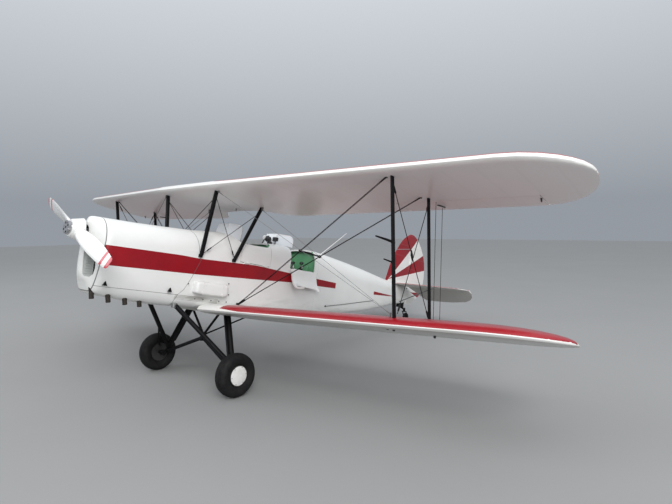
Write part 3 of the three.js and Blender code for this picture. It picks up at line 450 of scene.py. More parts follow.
def rubber():
    s = Shader("rubber", 0.72)
    s.bsdf.inputs["Specular IOR Level"].default_value = 0.2
    dust = s.spread(s.noise(14, 5, 0.65), 0.35, 0.75)
    s.colour(s.mix(dust, (0.007, 0.007, 0.008, 1), (0.017, 0.0165, 0.016, 1)))
    s.rough(40, 3, 0.6, 0.85)
    s.bump(s.noise(420, 3), 0.0008, 0.6)
    return s.material


# The wheel's white cover is on its outer side only
COVER_FROM, COVER_R = 0.800, 0.107


def wheel_cover():
    s = Shader("wheel_cover", 0.36, coat=0.3)
    x, y, z = s.axes()
    chalk = s.spread(s.noise(18, 4), 0.32, 0.68)
    white = s.mix(chalk, (0.80, 0.79, 0.77, 1), (0.70, 0.68, 0.65, 1))
    across = s.math("SUBTRACT", y, WHEEL_CENTRE[0])
    above = s.math("SUBTRACT", z, WHEEL_CENTRE[1])
    square = s.math("ADD", s.math("MULTIPLY", across, across), s.math("MULTIPLY", above, above))
    outer = s.both(s.over(s.math("ABSOLUTE", x), COVER_FROM), s.over(COVER_R ** 2, square))
    s.colour(s.mix(outer, (0.030, 0.029, 0.028, 1), white))
    s.bump(s.noise(120, 3), 0.0004, 0.4)
    return s.material


def acrylic():
    s = Shader("acrylic", 0.04)
    s.bsdf.inputs["Base Color"].default_value = (0.92, 0.95, 0.98, 1)
    s.bsdf.inputs["Transmission Weight"].default_value = 0.0
    s.bsdf.inputs["IOR"].default_value = 1.49
    s.bsdf.inputs["Alpha"].default_value = 0.66
    s.bsdf.inputs["Coat Weight"].default_value = 1.0
    s.bump(s.noise(6, 2), 0.0006, 0.2)
    return s.material


PAINT = {
    "cowl": body_paint("cowl_paint", seams="cowl"),
    "ply": body_paint("ply_paint", seams="rear"),
    "door": body_paint("door_paint", striped=False),
    "aft": body_paint("aft_fabric", fabric=True),
    "upper": wing_fabric("upper_wing_fabric", UPPER, 0.028, 0.56, (0.80, 0.80, 0.785, 1)),
    # its grey underside is painted shade
    "lower": wing_fabric("lower_wing_fabric", LOWER, 0.004, 0.62, SHADED_CLOTH),
    "tail": tail_fabric("tail_fabric"),
    "tailplane": tailplane_fabric("tailplane_fabric"),
    "propeller": propeller_paint(),
    "black": plain("black_enamel", BLACK, (0.008, 0.008, 0.009, 1), 0.5, specular=0.12),
    "rubber": rubber(),
    "cap": wheel_cover(),
    "cover": plain("cover_white", WHITE, FLAT_WHITE, 0.34, coat=0.35, scale=4),
    "white": plain("white_enamel", (0.80, 0.79, 0.77, 1), (0.72, 0.71, 0.68, 1), 0.35, coat=0.3, scale=18),
    "alloy": plain("dull_alloy", (0.42, 0.42, 0.42, 1), (0.30, 0.30, 0.30, 1), 0.42, 0.9),
    "steel": plain("bright_steel", (0.55, 0.55, 0.56, 1), (0.40, 0.40, 0.41, 1), 0.3, 1.0),
    "wire": plain("black_wire", (0.006, 0.006, 0.006, 1), (0.014, 0.013, 0.013, 1), 0.5, specular=0.2),
    # a lighter grey copy of the black wire paint for the landing wires: a painted reflection
    "wire_painted_reflection": plain("grey_wire_painted_reflection", (0.13, 0.13, 0.13, 1), (0.20, 0.20, 0.20, 1), 0.5, specular=0.3),
    "strut": plain("grey_strut", (0.20, 0.205, 0.21, 1), (0.15, 0.155, 0.16, 1), 0.42, scale=20),
    "green": plain("cockpit_green", GREEN, (0.15, 0.38, 0.20, 1), 0.45, scale=6),
    "leather": plain("seat_leather", (0.035, 0.022, 0.015, 1), (0.07, 0.045, 0.03, 1), 0.55, scale=10,
                     bump=0.002),
    "panel": plain("panel_black", (0.015, 0.015, 0.016, 1), (0.03, 0.03, 0.031, 1), 0.5),
    "glass": acrylic(),
    "primer": plain("grey_primer", (0.54, 0.56, 0.54, 1), (0.44, 0.46, 0.44, 1), 0.5, scale=8),
    "soot": plain("sooty_steel", (0.014, 0.012, 0.010, 1), (0.040, 0.028, 0.020, 1), 0.75, 0.2, scale=30),
    # near-black put where there is only shade: painted shade of the hub's pits and of the slit by the inlet
    "painted_shade": plain("painted_shade_black", (0.004, 0.004, 0.004, 1), (0.006, 0.006, 0.006, 1), 0.9),
}

# Which finish each CAD node takes
FINISH = {
    "nose_bowl": "cowl", "cowl_upper": "cowl", "cowl_pan": "cowl", "oil_tank": "cowl",
    "engine_block": "alloy", "exhaust_stubs": "soot", "firewall": "alloy",
    "fuselage_forward": "ply", "door_front": "ply", "door_rear": "door", "fuselage_aft": "aft",
    "panel_front": "panel", "panel_rear": "panel", "seat_front": "green", "seat_rear": "green",
    "stick_front": "black", "stick_rear": "black", "windscreen_front": "glass", "windscreen_rear": "glass",
    "centre_section": "upper", "tailplane": "tailplane", "elevators": "tailplane", "fin": "tail",
    "rudder": "tail",
    "gear_pylon": "black", "tail_leg": "black", "tail_fork": "black", "tail_wheel": "rubber",
    "propeller": "propeller", "prop_hub": "steel",
}
for side in ("_left", "_right"):
    FINISH.update({
        "upper_wing" + side: "upper", "lower_wing" + side: "lower", "aileron_upper" + side: "upper",
        "aileron_lower" + side: "lower", "cabane_front" + side: "black", "cabane_rear" + side: "black",
        "interplane_front" + side: "black", "interplane_rear" + side: "black", "flying_wires" + side: "wire",
        "landing_wires" + side: "wire", "gear_leg" + side: "black", "tail_strut" + side: "strut",
        "tyre" + side: "rubber", "wheel" + side: "cap",
    })


def smoother(angle):
    """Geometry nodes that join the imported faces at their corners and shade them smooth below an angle."""
    group = bpy.data.node_groups.new("smooth_below_%d" % angle, "GeometryNodeTree")
    group.interface.new_socket("Geometry", in_out="INPUT", socket_type="NodeSocketGeometry")
    group.interface.new_socket("Geometry", in_out="OUTPUT", socket_type="NodeSocketGeometry")
    start, end = group.nodes.new("NodeGroupInput"), group.nodes.new("NodeGroupOutput")
    weld = group.nodes.new("GeometryNodeMergeByDistance")
    weld.inputs["Distance"].default_value = 2e-5
    faces = group.nodes.new("GeometryNodeSetShadeSmooth")
    edges = group.nodes.new("GeometryNodeSetShadeSmooth")
    edges.domain = "EDGE"
    edges.inputs["Shade Smooth"].default_value = False
    turn = group.nodes.new("GeometryNodeInputMeshEdgeAngle")
    sharp = group.nodes.new("FunctionNodeCompare")
    sharp.operation = "GREATER_THAN"
    sharp.inputs[1].default_value = math.radians(angle)
    link = group.links.new
    link(start.outputs[0], weld.inputs["Geometry"])
    link(weld.outputs["Geometry"], faces.inputs["Geometry"])
    link(faces.outputs["Geometry"], edges.inputs["Geometry"])
    link(turn.outputs[0], sharp.inputs[0])
    link(sharp.outputs[0], edges.inputs["Selection"])
    link(edges.outputs["Geometry"], end.inputs[0])
    return group


def dress(node, group):
    """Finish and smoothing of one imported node."""
    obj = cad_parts[node]
    obj.data.materials.clear()
    obj.data.materials.append(PAINT[FINISH[node]])
    for polygon in obj.data.polygons:
        polygon.material_index = 0
    modifier = obj.modifiers.new("smooth", "NODES")
    modifier.node_group = group


# Height of the body's middle line, round which its inner faces look inwards
BODY_MIDDLE = -0.22


def line_inside(node, paint):
    """Give another paint to a hollow node's faces that look inwards, or forward across the rear cockpit."""
    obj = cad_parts[node]
    obj.data.materials.append(PAINT[paint])
    back = TURN.transposed()
    for polygon in obj.data.polygons:
        centre = back @ (polygon.center - SHIFT)
        normal = back @ polygon.normal
        outward = normal.x * centre.x + normal.z * (centre.z - BODY_MIDDLE)
        bulkhead = node == "fuselage_aft" and normal.y < -0.7
        if outward < -0.02 or bulkhead:
            polygon.material_index = 1


SIDES = (("_left", 1), ("_right", -1))


class Piece:
    """Vertices and faces of one object, gathered in the level frame."""

    def __init__(self):
        self.verts = []
        self.faces = []

    def add(self, verts, faces):
        base = len(self.verts)
        self.verts += [Vector(v) for v in verts]
        self.faces += [[base + i for i in face] for face in faces]

    def rings(self, rings, closed=True):
        """Skin through rings with the same number of points, with its two ends filled."""
        count = len(rings[0])
        verts = [p for ring in rings for p in ring]
        faces = []
        for r in range(len(rings) - 1):
            for i in range(count):
                j = (i + 1) % count
                faces.append([r * count + i, r * count + j, (r + 1) * count + j, (r + 1) * count + i])
        if closed:
            faces.append(list(range(count))[::-1])
            faces.append([(len(rings) - 1) * count + i for i in range(count)])
        self.add(verts, faces)

    def tube(self, points, radius, sides=10, flat=1.0):
        """Round bar along points, or a flattened one."""
        points = [Vector(p) for p in points]
        rings = []
        for i, point in enumerate(points):
            ahead = points[min(i + 1, len(points) - 1)] - points[max(i - 1, 0)]
            ahead.normalize()
            side = ahead.cross(Vector((0, 1, 0)))
            side = side.normalized() if side.length > 0.2 else ahead.cross(Vector((1, 0, 0))).normalized()
            up = side.cross(ahead)
            size = radius[i] if isinstance(radius, (list, tuple)) else radius
            ring = []
            for k in range(sides):
                a = 2 * math.pi * k / sides
                ring.append(point + up * (size * math.cos(a)) + side * (size * flat * math.sin(a)))
            rings.append(ring)
        self.rings(rings)

    def lathe(self, profile, centre, axis, steps=48):
        """Profile of (distance from the axis, place along it) turned round."""
        axis = Vector(axis).normalized()
        side = axis.cross(Vector((0, 0, 1)) if abs(axis.z) < 0.8 else Vector((1, 0, 0))).normalized()
        up = axis.cross(side)
        rings = []
        for distance, place in profile:
            distance = max(distance, 1e-5)
            ring = []
            for k in range(steps):
                a = 2 * math.pi * k / steps
                spoke = side * math.cos(a) + up * math.sin(a)
                ring.append(Vector(centre) + axis * place + spoke * distance)
            rings.append(ring)
        self.rings(rings)

    def block(self, lo, hi, bevel=0.002):
        """Box with its edges cut back."""
        mid = [(a + b) / 2 for a, b in zip(lo, hi)]
        half = [(b - a) / 2 for a, b in zip(lo, hi)]
        rings = []
        for z, inset in ((-half[2], bevel), (-half[2] + bevel, 0), (half[2] - bevel, 0), (half[2], bevel)):
            x, y = half[0] - inset, half[1] - inset
            b = bevel
            outline = [(x - b, y), (x, y - b), (x, b - y), (x - b, -y)]
            outline += [(b - x, -y), (-x, b - y), (-x, y - b), (b - x, y)]
            rings.append([(mid[0] + px, mid[1] + py, mid[2] + z) for px, py in outline])
        self.rings(rings)

    def mirrored(self):
        other = Piece()
        other.add([(-v.x, v.y, v.z) for v in self.verts], [face[::-1] for face in self.faces])
        return other

    def both_sides(self):
        other = self.mirrored()
        self.add(other.verts, other.faces)
        return self

    def make(self, name, paint, slot, body="airframe", replaces=(), sharp=38):
        mesh = bpy.data.meshes.new(name)
        mesh.from_pydata([level(*v) for v in self.verts], [], self.faces)
        mesh.update()
        obj = bpy.data.objects.new(name, mesh)
        bpy.context.scene.collection.objects.link(obj)
        mesh.materials.append(PAINT[paint])
        bpy.context.view_layer.objects.active = obj
        bpy.ops.object.select_all(action="DESELECT")
        obj.select_set(True)
        bpy.ops.object.mode_set(mode="EDIT")
        bpy.ops.mesh.select_all(action="SELECT")
        bpy.ops.mesh.normals_make_consistent(inside=False)
        bpy.ops.object.mode_set(mode="OBJECT")
        mesh.shade_smooth()
        mesh.set_sharp_from_angle(angle=math.radians(sharp))
        if body:
            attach(obj, body)
        if replaces:
            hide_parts(*replaces)
        return obj


# Struts and wires: places of their ends, for the left side
FRONT_TOP, REAR_TOP = (0.510, 1.108, 0.615), (0.512, 1.770, 0.575)
FRONT_FOOT, REAR_FOOT = (0.376, 1.142, -0.040), (0.376, 1.590, -0.030)
CELL_X = 2.659
CABANE_WIRE_R, CELL_WIRE_R, LINK_R = 0.0035, 0.0038, 0.0026


def cross_wires():
    """Crossed wires of the cabane, and those between the struts out on the wings."""
    piece = Piece()
    r = CABANE_WIRE_R
    for a, b in ((FRONT_TOP, REAR_FOOT), (REAR_TOP, FRONT_FOOT)):
        piece.tube([a, b], r, 8)
        turnbuckle = [Vector(a).lerp(Vector(b), t) for t in (0.86, 0.87, 0.93, 0.94)]
        piece.tube(turnbuckle, [r, 0.0075, 0.0075, r], 8)
    piece.both_sides()
    for sign in (1, -1):
        top = (sign * FRONT_TOP[0], FRONT_TOP[1], FRONT_TOP[2])
        foot = (-sign * 0.335, 1.150, 0.060)
        piece.tube([top, foot], r, 8)
    piece.make("cabane_cross_wires", "wire", "wire_steel")
    piece = Piece()
    wires = (
        ((CELL_X - 0.014, 1.470, 0.735), (CELL_X - 0.004, 2.372, -0.470)),
        ((CELL_X + 0.014, 2.098, 0.700), (CELL_X + 0.004, 1.760, -0.440)),
    )
    r = CELL_WIRE_R
    for a, b in wires:
        a, b = Vector(a), Vector(b)
        piece.tube([a, b], r, 8)
        for t in (0.05, 0.95):
            ends = [a.lerp(b, t + d) for d in (-0.03, -0.022, 0.022, 0.03)]
            piece.tube(ends, [r, 0.009, 0.009, r], 8)
    crossing = Vector(wires[0][0]).lerp(Vector(wires[0][1]), 0.50)
    piece.tube([crossing + Vector((0, -0.02, 0.05)), crossing, crossing + Vector((0, 0.02, -0.05))],
               [0.006, 0.014, 0.006], 10)
    piece.both_sides()
    piece.make("incidence_wires", "wire", "wire_steel")


# Where the wires of the left cell end, the spreader bar's share of the flying wires, and the profile of
# the knobs on that bar
ROOT_LUG = (0.370, 1.757, -0.569)
FLYING_TOPS = [(2.598, 1.432, 0.772), (2.600, 2.057, 0.740)]
LANDING_TOPS = [(0.556, 1.100, 0.664), (0.556, 1.764, 0.608)]
LANDING_FOOT = (2.598, 1.738, -0.445)
SPREADER = 0.495
SPREADER_KNOB = [(0, -0.016), (0.015, -0.014), (0.018, 0), (0.015, 0.014), (0, 0.016)]


def streamline(piece, start, end, offset, wide=0.0042, thin=0.0022):
    """One flattened wire with round threaded ends, its flat along the flight."""
    start, end = Vector(start) + Vector(offset), Vector(end) + Vector(offset)
    ahead = (end - start).normalized()
    flat = (Vector((0, 1, 0)) - ahead * ahead.y).normalized()
    edge = ahead.cross(flat)
    rings = []
    for share, w, t in ((0, 0.004, 0.004), (0.02, 0.004, 0.004), (0.035, wide, thin), (0.965, wide, thin),
                        (0.98, 0.004, 0.004), (1, 0.004, 0.004)):
        at = start.lerp(end, share)
        angles = [2 * math.pi * k / 8 for k in range(8)]
        rings.append([at + flat * (w * math.cos(a)) + edge * (t * math.sin(a)) for a in angles])
    piece.rings(rings)


def rigging():
    """Doubled flying wires with their spreader bar, single landing wires, and the plates that hold them."""
    for side in ("_left", "_right"):
        flying = Piece()
        for top in FLYING_TOPS:
            for shift in (-0.0065, 0.0065):
                streamline(flying, ROOT_LUG, top, (0, shift, 0))
        bars = [Vector(ROOT_LUG).lerp(Vector(top), SPREADER) for top in FLYING_TOPS]
        reach = (bars[1] - bars[0]).normalized() * 0.03
        flying.tube([bars[0] - reach, bars[0], bars[1], bars[1] + reach], [0.004, 0.009, 0.009, 0.004], 12)
        for bar in bars:
            flying.lathe(SPREADER_KNOB, bar, (0, 1, 0), 16)
        for top, height in zip(FLYING_TOPS, (0.058, 0.062)):
            plate_at(flying, top, 0.011, height)
        flying.block((0.340, 1.742, -0.582), (0.374, 1.772, -0.556), 0.003)
        for top in FLYING_TOPS:
            fork = [Vector(ROOT_LUG).lerp(Vector(top), t) for t in (0, 0.01, 0.04, 0.05)]
            flying.tube(fork, [0.010, 0.012, 0.010, 0.006], 10)
        landing = Piece()
        for top in LANDING_TOPS:
            streamline(landing, LANDING_FOOT, top, (0, 0, 0), 0.0032, 0.0018)
            plate_at(landing, top, 0.010, 0.084)
        plate_at(landing, LANDING_FOOT, -0.084, 0.010)
        # the landing wires take the lighter grey copy of the wire paint: a painted reflection
        for name, piece, paint in (("flying_wires", flying, "wire"), ("landing_wires", landing, "wire_painted_reflection")):
            piece = piece if side == "_left" else piece.mirrored()
            piece.make(name + "_drawn" + side, paint, "wire_steel", replaces=[name + side])


def plate_at(piece, place, low, high):
    """Thin fork plate between two heights by a wire end."""
    x, y, z = place
    bottom, top = (low, high) if low < 0 else (-low, high)
    outline = [(-0.006, bottom), (0.006, bottom), (0.008, (bottom + top) / 2), (0.008, top), (-0.008, top),
               (-0.008, (bottom + top) / 2)]
    piece.rings([[(x + dx, y + dy, z + dz) for dy, dz in outline] for dx in (-0.006, 0.010)])


LINK_X = 2.70
LINK_TOP, LINK_FOOT = [(2.189, 0.722), (2.332, 0.690)], [(2.394, -0.548), (2.530, -0.556)]


def aileron_links():
    """Thin rods between the ailerons, made as an upper and a lower half that meet halfway."""
    for side, sign in SIDES:
        for half, end in (("upper", 1.0), ("lower", 0.0)):
            piece = Piece()
            for top, foot in zip(LINK_TOP, LINK_FOOT):
                high, low = Vector((sign * LINK_X, *top)), Vector((sign * LINK_X, *foot))
                span = [low.lerp(high, 0.5 + (end - 0.5) * t) for t in (0, 0.2, 0.4, 0.6, 0.8, 0.9, 1)]
                piece.tube(span, LINK_R, 6)
            obj = piece.make("aileron_link_%s%s" % (half, side), "wire", "wire_steel", body=None)
            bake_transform(obj)


def body_details():
    """Small things fixed to the airframe: vents, studs, aerial, pitot tubes, control cables, tank sump."""
    vents = Piece()
    outline = ((-0.024, -0.016), (0.024, -0.016), (0.004, 0.030))
    for y, z, x in ((0.137, -0.508, 0.300), (0.831, -0.498, 0.326)):
        scoop = [(x - 0.010, y + dy, z + dz) for dy, dz in outline]
        proud = [(px + 0.020, py, pz) for px, py, pz in scoop]
        vents.rings([scoop, proud])
    vents.both_sides()
    vents.make("cowl_vents", "black", "black_steel")

    studs = Piece()
    head = [(0, 0.0045), (0.004, 0.004), (0.0065, 0.001), (0.0065, -0.008)]
    for y, z in [(1.14 + 0.11 * i, -0.560) for i in range(5)] + [(1.03, -0.40), (1.58, -0.34), (1.60, -0.47)]:
        studs.lathe(head, (0.359, y, z), (1, 0, 0), 10)
    studs.make("hull_studs", "panel", "black_panel")

    aerial = Piece()
    aerial.tube([(0, 3.490, 0.300), (0, 3.560, 0.345), (0, 4.097, 0.766)], [0.009, 0.006, 0.0035], 8)
    aerial.lathe([(0, 0.02), (0.02, 0.018), (0.03, 0.0), (0.03, -0.03)], (0, 3.485, 0.302), (0, 0, 1), 16)
    aerial.make("whip_aerial", "white", "white_cowl")

    pitot = Piece()
    upper = [(CELL_X, 1.585, 0.196), (CELL_X, 1.46, 0.202), (CELL_X, 1.293, 0.203)]
    lower = [(CELL_X, 1.620, 0.015), (CELL_X, 1.57, 0.019), (CELL_X, 1.452, 0.026)]
    pitot.tube(upper, [0.012, 0.011, 0.007], 10)
    pitot.tube(lower, [0.009, 0.008, 0.006], 10)
    pitot.make("pitot_tubes", "black", "black_steel")

    cables = Piece()
    run = ((0.330, 3.430, -0.472), (0.302, 3.921, -0.404), (0.234, 4.740, -0.286))
    guide = [(0, 0.010), (0.010, 0.008), (0.014, -0.010)]
    for sign in (1, -1):
        cables.tube([(sign * x, y, z) for x, y, z in run], 0.0035, 6)
        cables.lathe(guide, (sign * 0.318, 3.425, -0.473), (sign, 0, 0), 12)
    cables.make("control_cables", "wire", "wire_steel")

    sump = Piece()
    outline = [(1.660, 0.700), (1.900, 0.700), (1.885, 0.668), (1.720, 0.655)]
    sump.rings([[(x, y, z) for y, z in outline] for x in (-0.045, 0.045)])
    drain = [(0.0, -0.028), (0.013, -0.026), (0.015, 0.0), (0.015, 0.03)]
    sump.lathe(drain, (0.0, 1.79, 0.655), (0, 0, 1), 16)
    sump.make("tank_sump", "alloy", "bare_alloy")


def hub_details():
    """Bolts on the front plate, and black discs between them and at the middle: painted shade of the pits
    there.
    """
    heads, pit_shades = Piece(), Piece()
    head = [(0, -0.008), (0.0075, -0.007), (0.008, 0.0), (0.008, 0.006)]
    for i in range(8):
        a = math.radians(22.5 + 45 * i)
        x, z = 0.050 * math.cos(a), 0.050 * math.sin(a)
        if i % 2:
            heads.lathe(head, (x, -0.2, z), (0, 1, 0), 6)
        else:
            # black disc: painted shade of a pit in the hub
            pit_shades.lathe([(0, -0.0006), (0.0125, -0.0006), (0.0125, 0.003)], (x, -0.2, z), (0, 1, 0), 20)
    # black disc at the middle: painted shade of the hub's centre hole
    pit_shades.lathe([(0, -0.0006), (0.013, -0.0006), (0.013, 0.003)], (0, -0.2, 0), (0, 1, 0), 20)
    heads.make("hub_bolts", "steel", "bare_alloy", "propeller")
    pit_shades.make("hub_pit_shades", "painted_shade", "black_steel", "propeller")


# Outlines of the tyre and of the small heads on the wheel: distance from the axis and place along it
TYRE = [
    (0.117, -0.048), (0.122, -0.056), (0.150, -0.074), (0.180, -0.0815), (0.203, -0.079), (0.222, -0.067),
    (0.2345, -0.050), (0.2355, -0.047), (0.2325, -0.045), (0.2325, -0.042), (0.2375, -0.040),
    (0.2405, -0.024), (0.2370, -0.022), (0.2370, -0.019), (0.2425, -0.017), (0.2440, 0.0),
]
SCREW = [(0, 0.003), (0.004, 0.0028), (0.0065, 0.001), (0.0065, -0.006)]
NOTCH = [(0, 0.002), (0.006, 0.0018), (0.0075, 0.0), (0.0075, -0.006)]


def wheels():
    """Grooved tyres, and the screws and notches of the wheel covers."""
    for side, sign in SIDES:
        centre = (sign * 0.827, WHEEL_CENTRE[0], WHEEL_CENTRE[1])
        axis = (sign, 0, 0)
        tyre = Piece()
        profile = TYRE + [(r, -w) for r, w in reversed(TYRE[:-1])]
        tyre.lathe(profile + [profile[0]], centre, axis, 96)
        tyre.faces = [f for f in tyre.faces if len(f) == 4]
        tyre.make("tyre_tread" + side, "rubber", "tyre", "wheel" + side, ["tyre" + side])
        screws = heads_round(centre, sign, 6, 15, (0.096, 0.0638), SCREW, 12)
        screws.make("wheel_screws" + side, "alloy", "bare_alloy", "wheel" + side)
        notches = heads_round(centre, sign, 4, 42, (0.109, 0.0610), NOTCH, 10)
        notches.make("wheel_notches" + side, "panel", "black_panel", "wheel" + side)


def heads_round(centre, sign, count, first, place, profile, steps):
    """Equal heads in a circle on a wheel's outer side, at (distance from the axle, place along it)."""
    piece = Piece()
    radius, proud = place
    for i in range(count):
        a = math.radians(first + 360 / count * i)
        spot = (centre[0] + sign * proud, centre[1] + radius * math.cos(a), centre[2] + radius * math.sin(a))
        piece.lathe(profile, spot, (sign, 0, 0), steps)
    return piece


def rounded_ring(mid, half, power, count, place):
    """Closed ring of a box with very round corners; place() turns its two coordinates into a point."""
    ring = []
    for k in range(count):
        a = 2 * math.pi * k / count
        c, d = math.cos(a), math.sin(a)
        u = mid[0] + half[0] * math.copysign(abs(c) ** power, c)
        v = mid[1] + half[1] * math.copysign(abs(d) ** power, d)
        ring.append(place(u, v))
    return ring


# Blister over the oil tank: its middle and half sizes along y and z, and the x of its flat face
TANK_MID, TANK_HALF, TANK_FACE = (1.325, -0.4285), (0.220, 0.0765), 0.424

# Its face rounds into its sides, as (depth from the face, inset); its straps run over it, as (x, z)
TANK_EDGE = [(0.114, 0.0), (0.030, 0.001), (0.020, 0.003), (0.010, 0.009), (0.003, 0.019), (0.0, 0.034)]
STRAP_Y = (1.190, 1.460)
STRAP_T, STRAP_HALF = 0.0012, 0.007
STRAP = [
    (0.372, -0.506), (0.418, -0.506), (0.4255, -0.498), (0.4265, -0.430), (0.4255, -0.360), (0.418, -0.3515),
    (0.372, -0.3515),
]


def tank_cover():
    """Smooth blister with two straps over it."""
    cover = Piece()
    rows = []
    for depth, inset in TANK_EDGE:
        half = (TANK_HALF[0] - inset, TANK_HALF[1] - inset)
        rows.append(rounded_ring(TANK_MID, half, 0.30, 64, lambda u, v, x=TANK_FACE - depth: (x, u, v)))
    cover.rings(rows)
    cover.make("tank_cover", "cover", "white_cowl", replaces=["oil_tank"], sharp=50)
    straps = Piece()
    for y in STRAP_Y:
        front, back = y - STRAP_HALF, y + STRAP_HALF
        straps.rings([
            [(x, front, z), (x + STRAP_T, front, z), (x + STRAP_T, back, z), (x, back, z)] for x, z in STRAP
        ])
    button = [(0, 0.006), (0.006, 0.005), (0.008, 0.0), (0.008, -0.004)]
    for y in STRAP_Y:
        straps.lathe(button, (0.4265, y, -0.480), (1, 0, 0), 12)
    straps.make("tank_straps", "white", "white_cowl")


# Duct behind the cooling inlet, as (x, z) round its mouth and the y where it leaves the bowl's wall
INLET = [
    (0.040, -0.200, -0.006), (0.060, -0.430, 0.008), (0.085, -0.452, 0.020), (0.150, -0.456, 0.052),
    (0.188, -0.425, 0.066), (0.203, -0.370, 0.066), (0.205, -0.200, 0.058),
]


def inlet_duct():
    """Duct from the bowl's wall back to a floor, faint fins, and a black block at its outer edge: painted
    shade of the slit there.
    """
    duct = Piece()
    middle_x, middle_z = 0.122, -0.330

    def grown(value, mid):
        return value + math.copysign(0.006, value - mid)

    mouth = [(grown(x, middle_x), y, grown(z, middle_z)) for x, z, y in INLET]
    back = [(middle_x + (x - middle_x) * 0.90, middle_z + (z - middle_z) * 0.94) for x, z, y in INLET]
    duct.rings([mouth, [(x, 0.186, z) for x, z in back]], closed=False)
    duct.rings([[(x, 0.184, z) for x, z in back], [(x, 0.187, z) for x, z in back]])
    duct.make("inlet_duct", "primer", "bare_alloy")
    fins = Piece()
    for i in range(9):
        z = -0.425 + 0.026 * i
        fins.block((0.058, 0.160, z - 0.003), (0.186, 0.183, z + 0.003), 0.001)
        fins.block((0.046, 0.024, z - 0.002), (0.062, 0.120, z + 0.002), 0.001)
    fins.make("inlet_fins", "primer", "bare_alloy")
    # black block: painted shade in the slit where the duct's wall ends
    slit_shade = Piece()
    slit_shade.block((0.045, 0.106, -0.446), (0.064, 0.136, -0.205), 0.001)
    slit_shade.make("inlet_slit_shade", "painted_shade", "black_panel")


# Windscreens: foot and top of the side edges and of the front pane, as in the part's source, and how far
# up from those feet the deck is, as shares of the height at the front and at the sides. The upper corners
# are rounded from CORNER along the top and down the edge.
SCREENS = {
    "front": dict(
        front=((1.535, 0.060), (1.640, 0.418)), side=((1.705, 0.060), (1.785, 0.425)), deck=(0.38, 0.44),
    ),
    "rear": dict(
        front=((2.380, 0.060), (2.465, 0.444)), side=((2.635, 0.060), (2.692, 0.450)), deck=(0.615, 0.580),
    ),
}
SIDE_X, PANE_X, TOP_SHARE, PANE_T = 0.235, 0.120, 0.88, 0.003
CORNER = (0.095, 0.085)


def screens():
    """Three clear panes each, with round upper corners and pale metal edges."""
    for name, screen in SCREENS.items():
        corners = []
        for x, edge in ((-SIDE_X, "side"), (-PANE_X, "front"), (PANE_X, "front"), (SIDE_X, "side")):
            (yb, zb), (yt, zt) = screen[edge]
            foot, top = Vector((x, yb, zb)), Vector((x * TOP_SHARE, yt, zt))
            corners.append((foot.lerp(top, screen["deck"][edge == "side"]), top))
        frames, panes = Piece(), Piece()
        inside = Vector((0, 0.003, -0.003))
        (low_a, high_a), (low_b, high_b) = corners[1], corners[2]
        pane(panes, [low_a, low_b, high_b, high_a])
        frames.tube([high_a + inside, high_b + inside], 0.0052, 8)
        for front, side in ((1, 0), (2, 3)):
            (low, high), (foot, top) = corners[front], corners[side]
            along = top + (high - top).normalized() * CORNER[0]
            down = top + (foot - top).normalized() * CORNER[1]
            arc = [along.lerp(top, t / 8).lerp(top.lerp(down, t / 8), t / 8) for t in range(9)]
            pane(panes, [low, high] + arc + [foot])
            frames.tube([p + inside for p in [high] + arc + [foot]], 0.0048, 8)
            frames.tube([low + inside, high + inside], 0.0046, 8)
        frames.make("screen_frame_" + name, "white", "white_cowl")
        panes.make("screen_panes_" + name, "glass", "screen", replaces=["windscreen_" + name])


def pane(piece, outline):
    """Flat sheet of clear plastic with this outline."""
    normal = (outline[1] - outline[0]).cross(outline[-1] - outline[0]).normalized() * (PANE_T / 2)
    piece.rings([[p - normal for p in outline], [p + normal for p in outline]])


def deck_instruments():
    """Compass, lamp and mirror ahead of the rear windscreen, with a padded coaming before them."""
    compass = Piece()
    compass.lathe([(0, -0.040), (0.026, -0.040), (0.036, -0.030), (0.038, 0.020), (0.034, 0.030), (0, 0.030)],
                  (0.050, 2.365, 0.350), (0, 1, 0.15), 28)
    compass.tube([(0.050, 2.370, 0.225), (0.050, 2.368, 0.322)], [0.020, 0.011], 12)
    compass.block((0.150, 2.345, 0.322), (0.225, 2.400, 0.378), 0.008)
    compass.tube([(0.190, 2.372, 0.225), (0.190, 2.372, 0.325)], 0.008, 10)
    lamp = [(0, -0.020), (0.018, -0.018), (0.026, 0.004), (0.024, 0.012), (0, 0.012)]
    compass.lathe(lamp, (0.120, 2.350, 0.292), (0, 1, 0), 20)
    rail = [(-0.060, 2.345, 0.215), (-0.055, 2.352, 0.290), (0.010, 2.360, 0.385), (0.060, 2.362, 0.396)]
    compass.tube(rail, 0.007, 8)
    compass.make("deck_instruments", "panel", "black_panel")
    mirror = Piece()
    bowl = [(0, -0.006), (0.026, -0.004), (0.030, 0.002), (0.026, 0.004), (0, 0.004)]
    mirror.lathe(bowl, (-0.020, 2.352, 0.375), (0.2, -1, 0.1), 24)
    mirror.make("deck_mirror", "white", "white_cowl")
    roll = Piece()
    arc = []
    for i in range(25):
        a = math.pi * (i / 24 - 0.5)
        arc.append((0.276 * math.sin(a), 2.190 + 0.105 * math.cos(a), 0.190 + 0.046 * math.cos(a)))
    roll.tube(arc, 0.030, 12)
    roll.make("coaming_front", "green", "seat_shell")


BOLT_ENDS = [(2.590, 1.738, -0.580), (2.659, 1.738, -0.584), (2.659, 2.405, -0.600), (2.722, 2.405, -0.624)]
BRAKE_PIPE = [(0.440, 1.210, -0.905), (0.520, 1.275, -1.020), (0.660, 1.375, -1.160), (0.704, 1.430, -1.235)]
HORN = [(2.228, 0.698), (2.300, 0.706), (2.385, 0.712)]


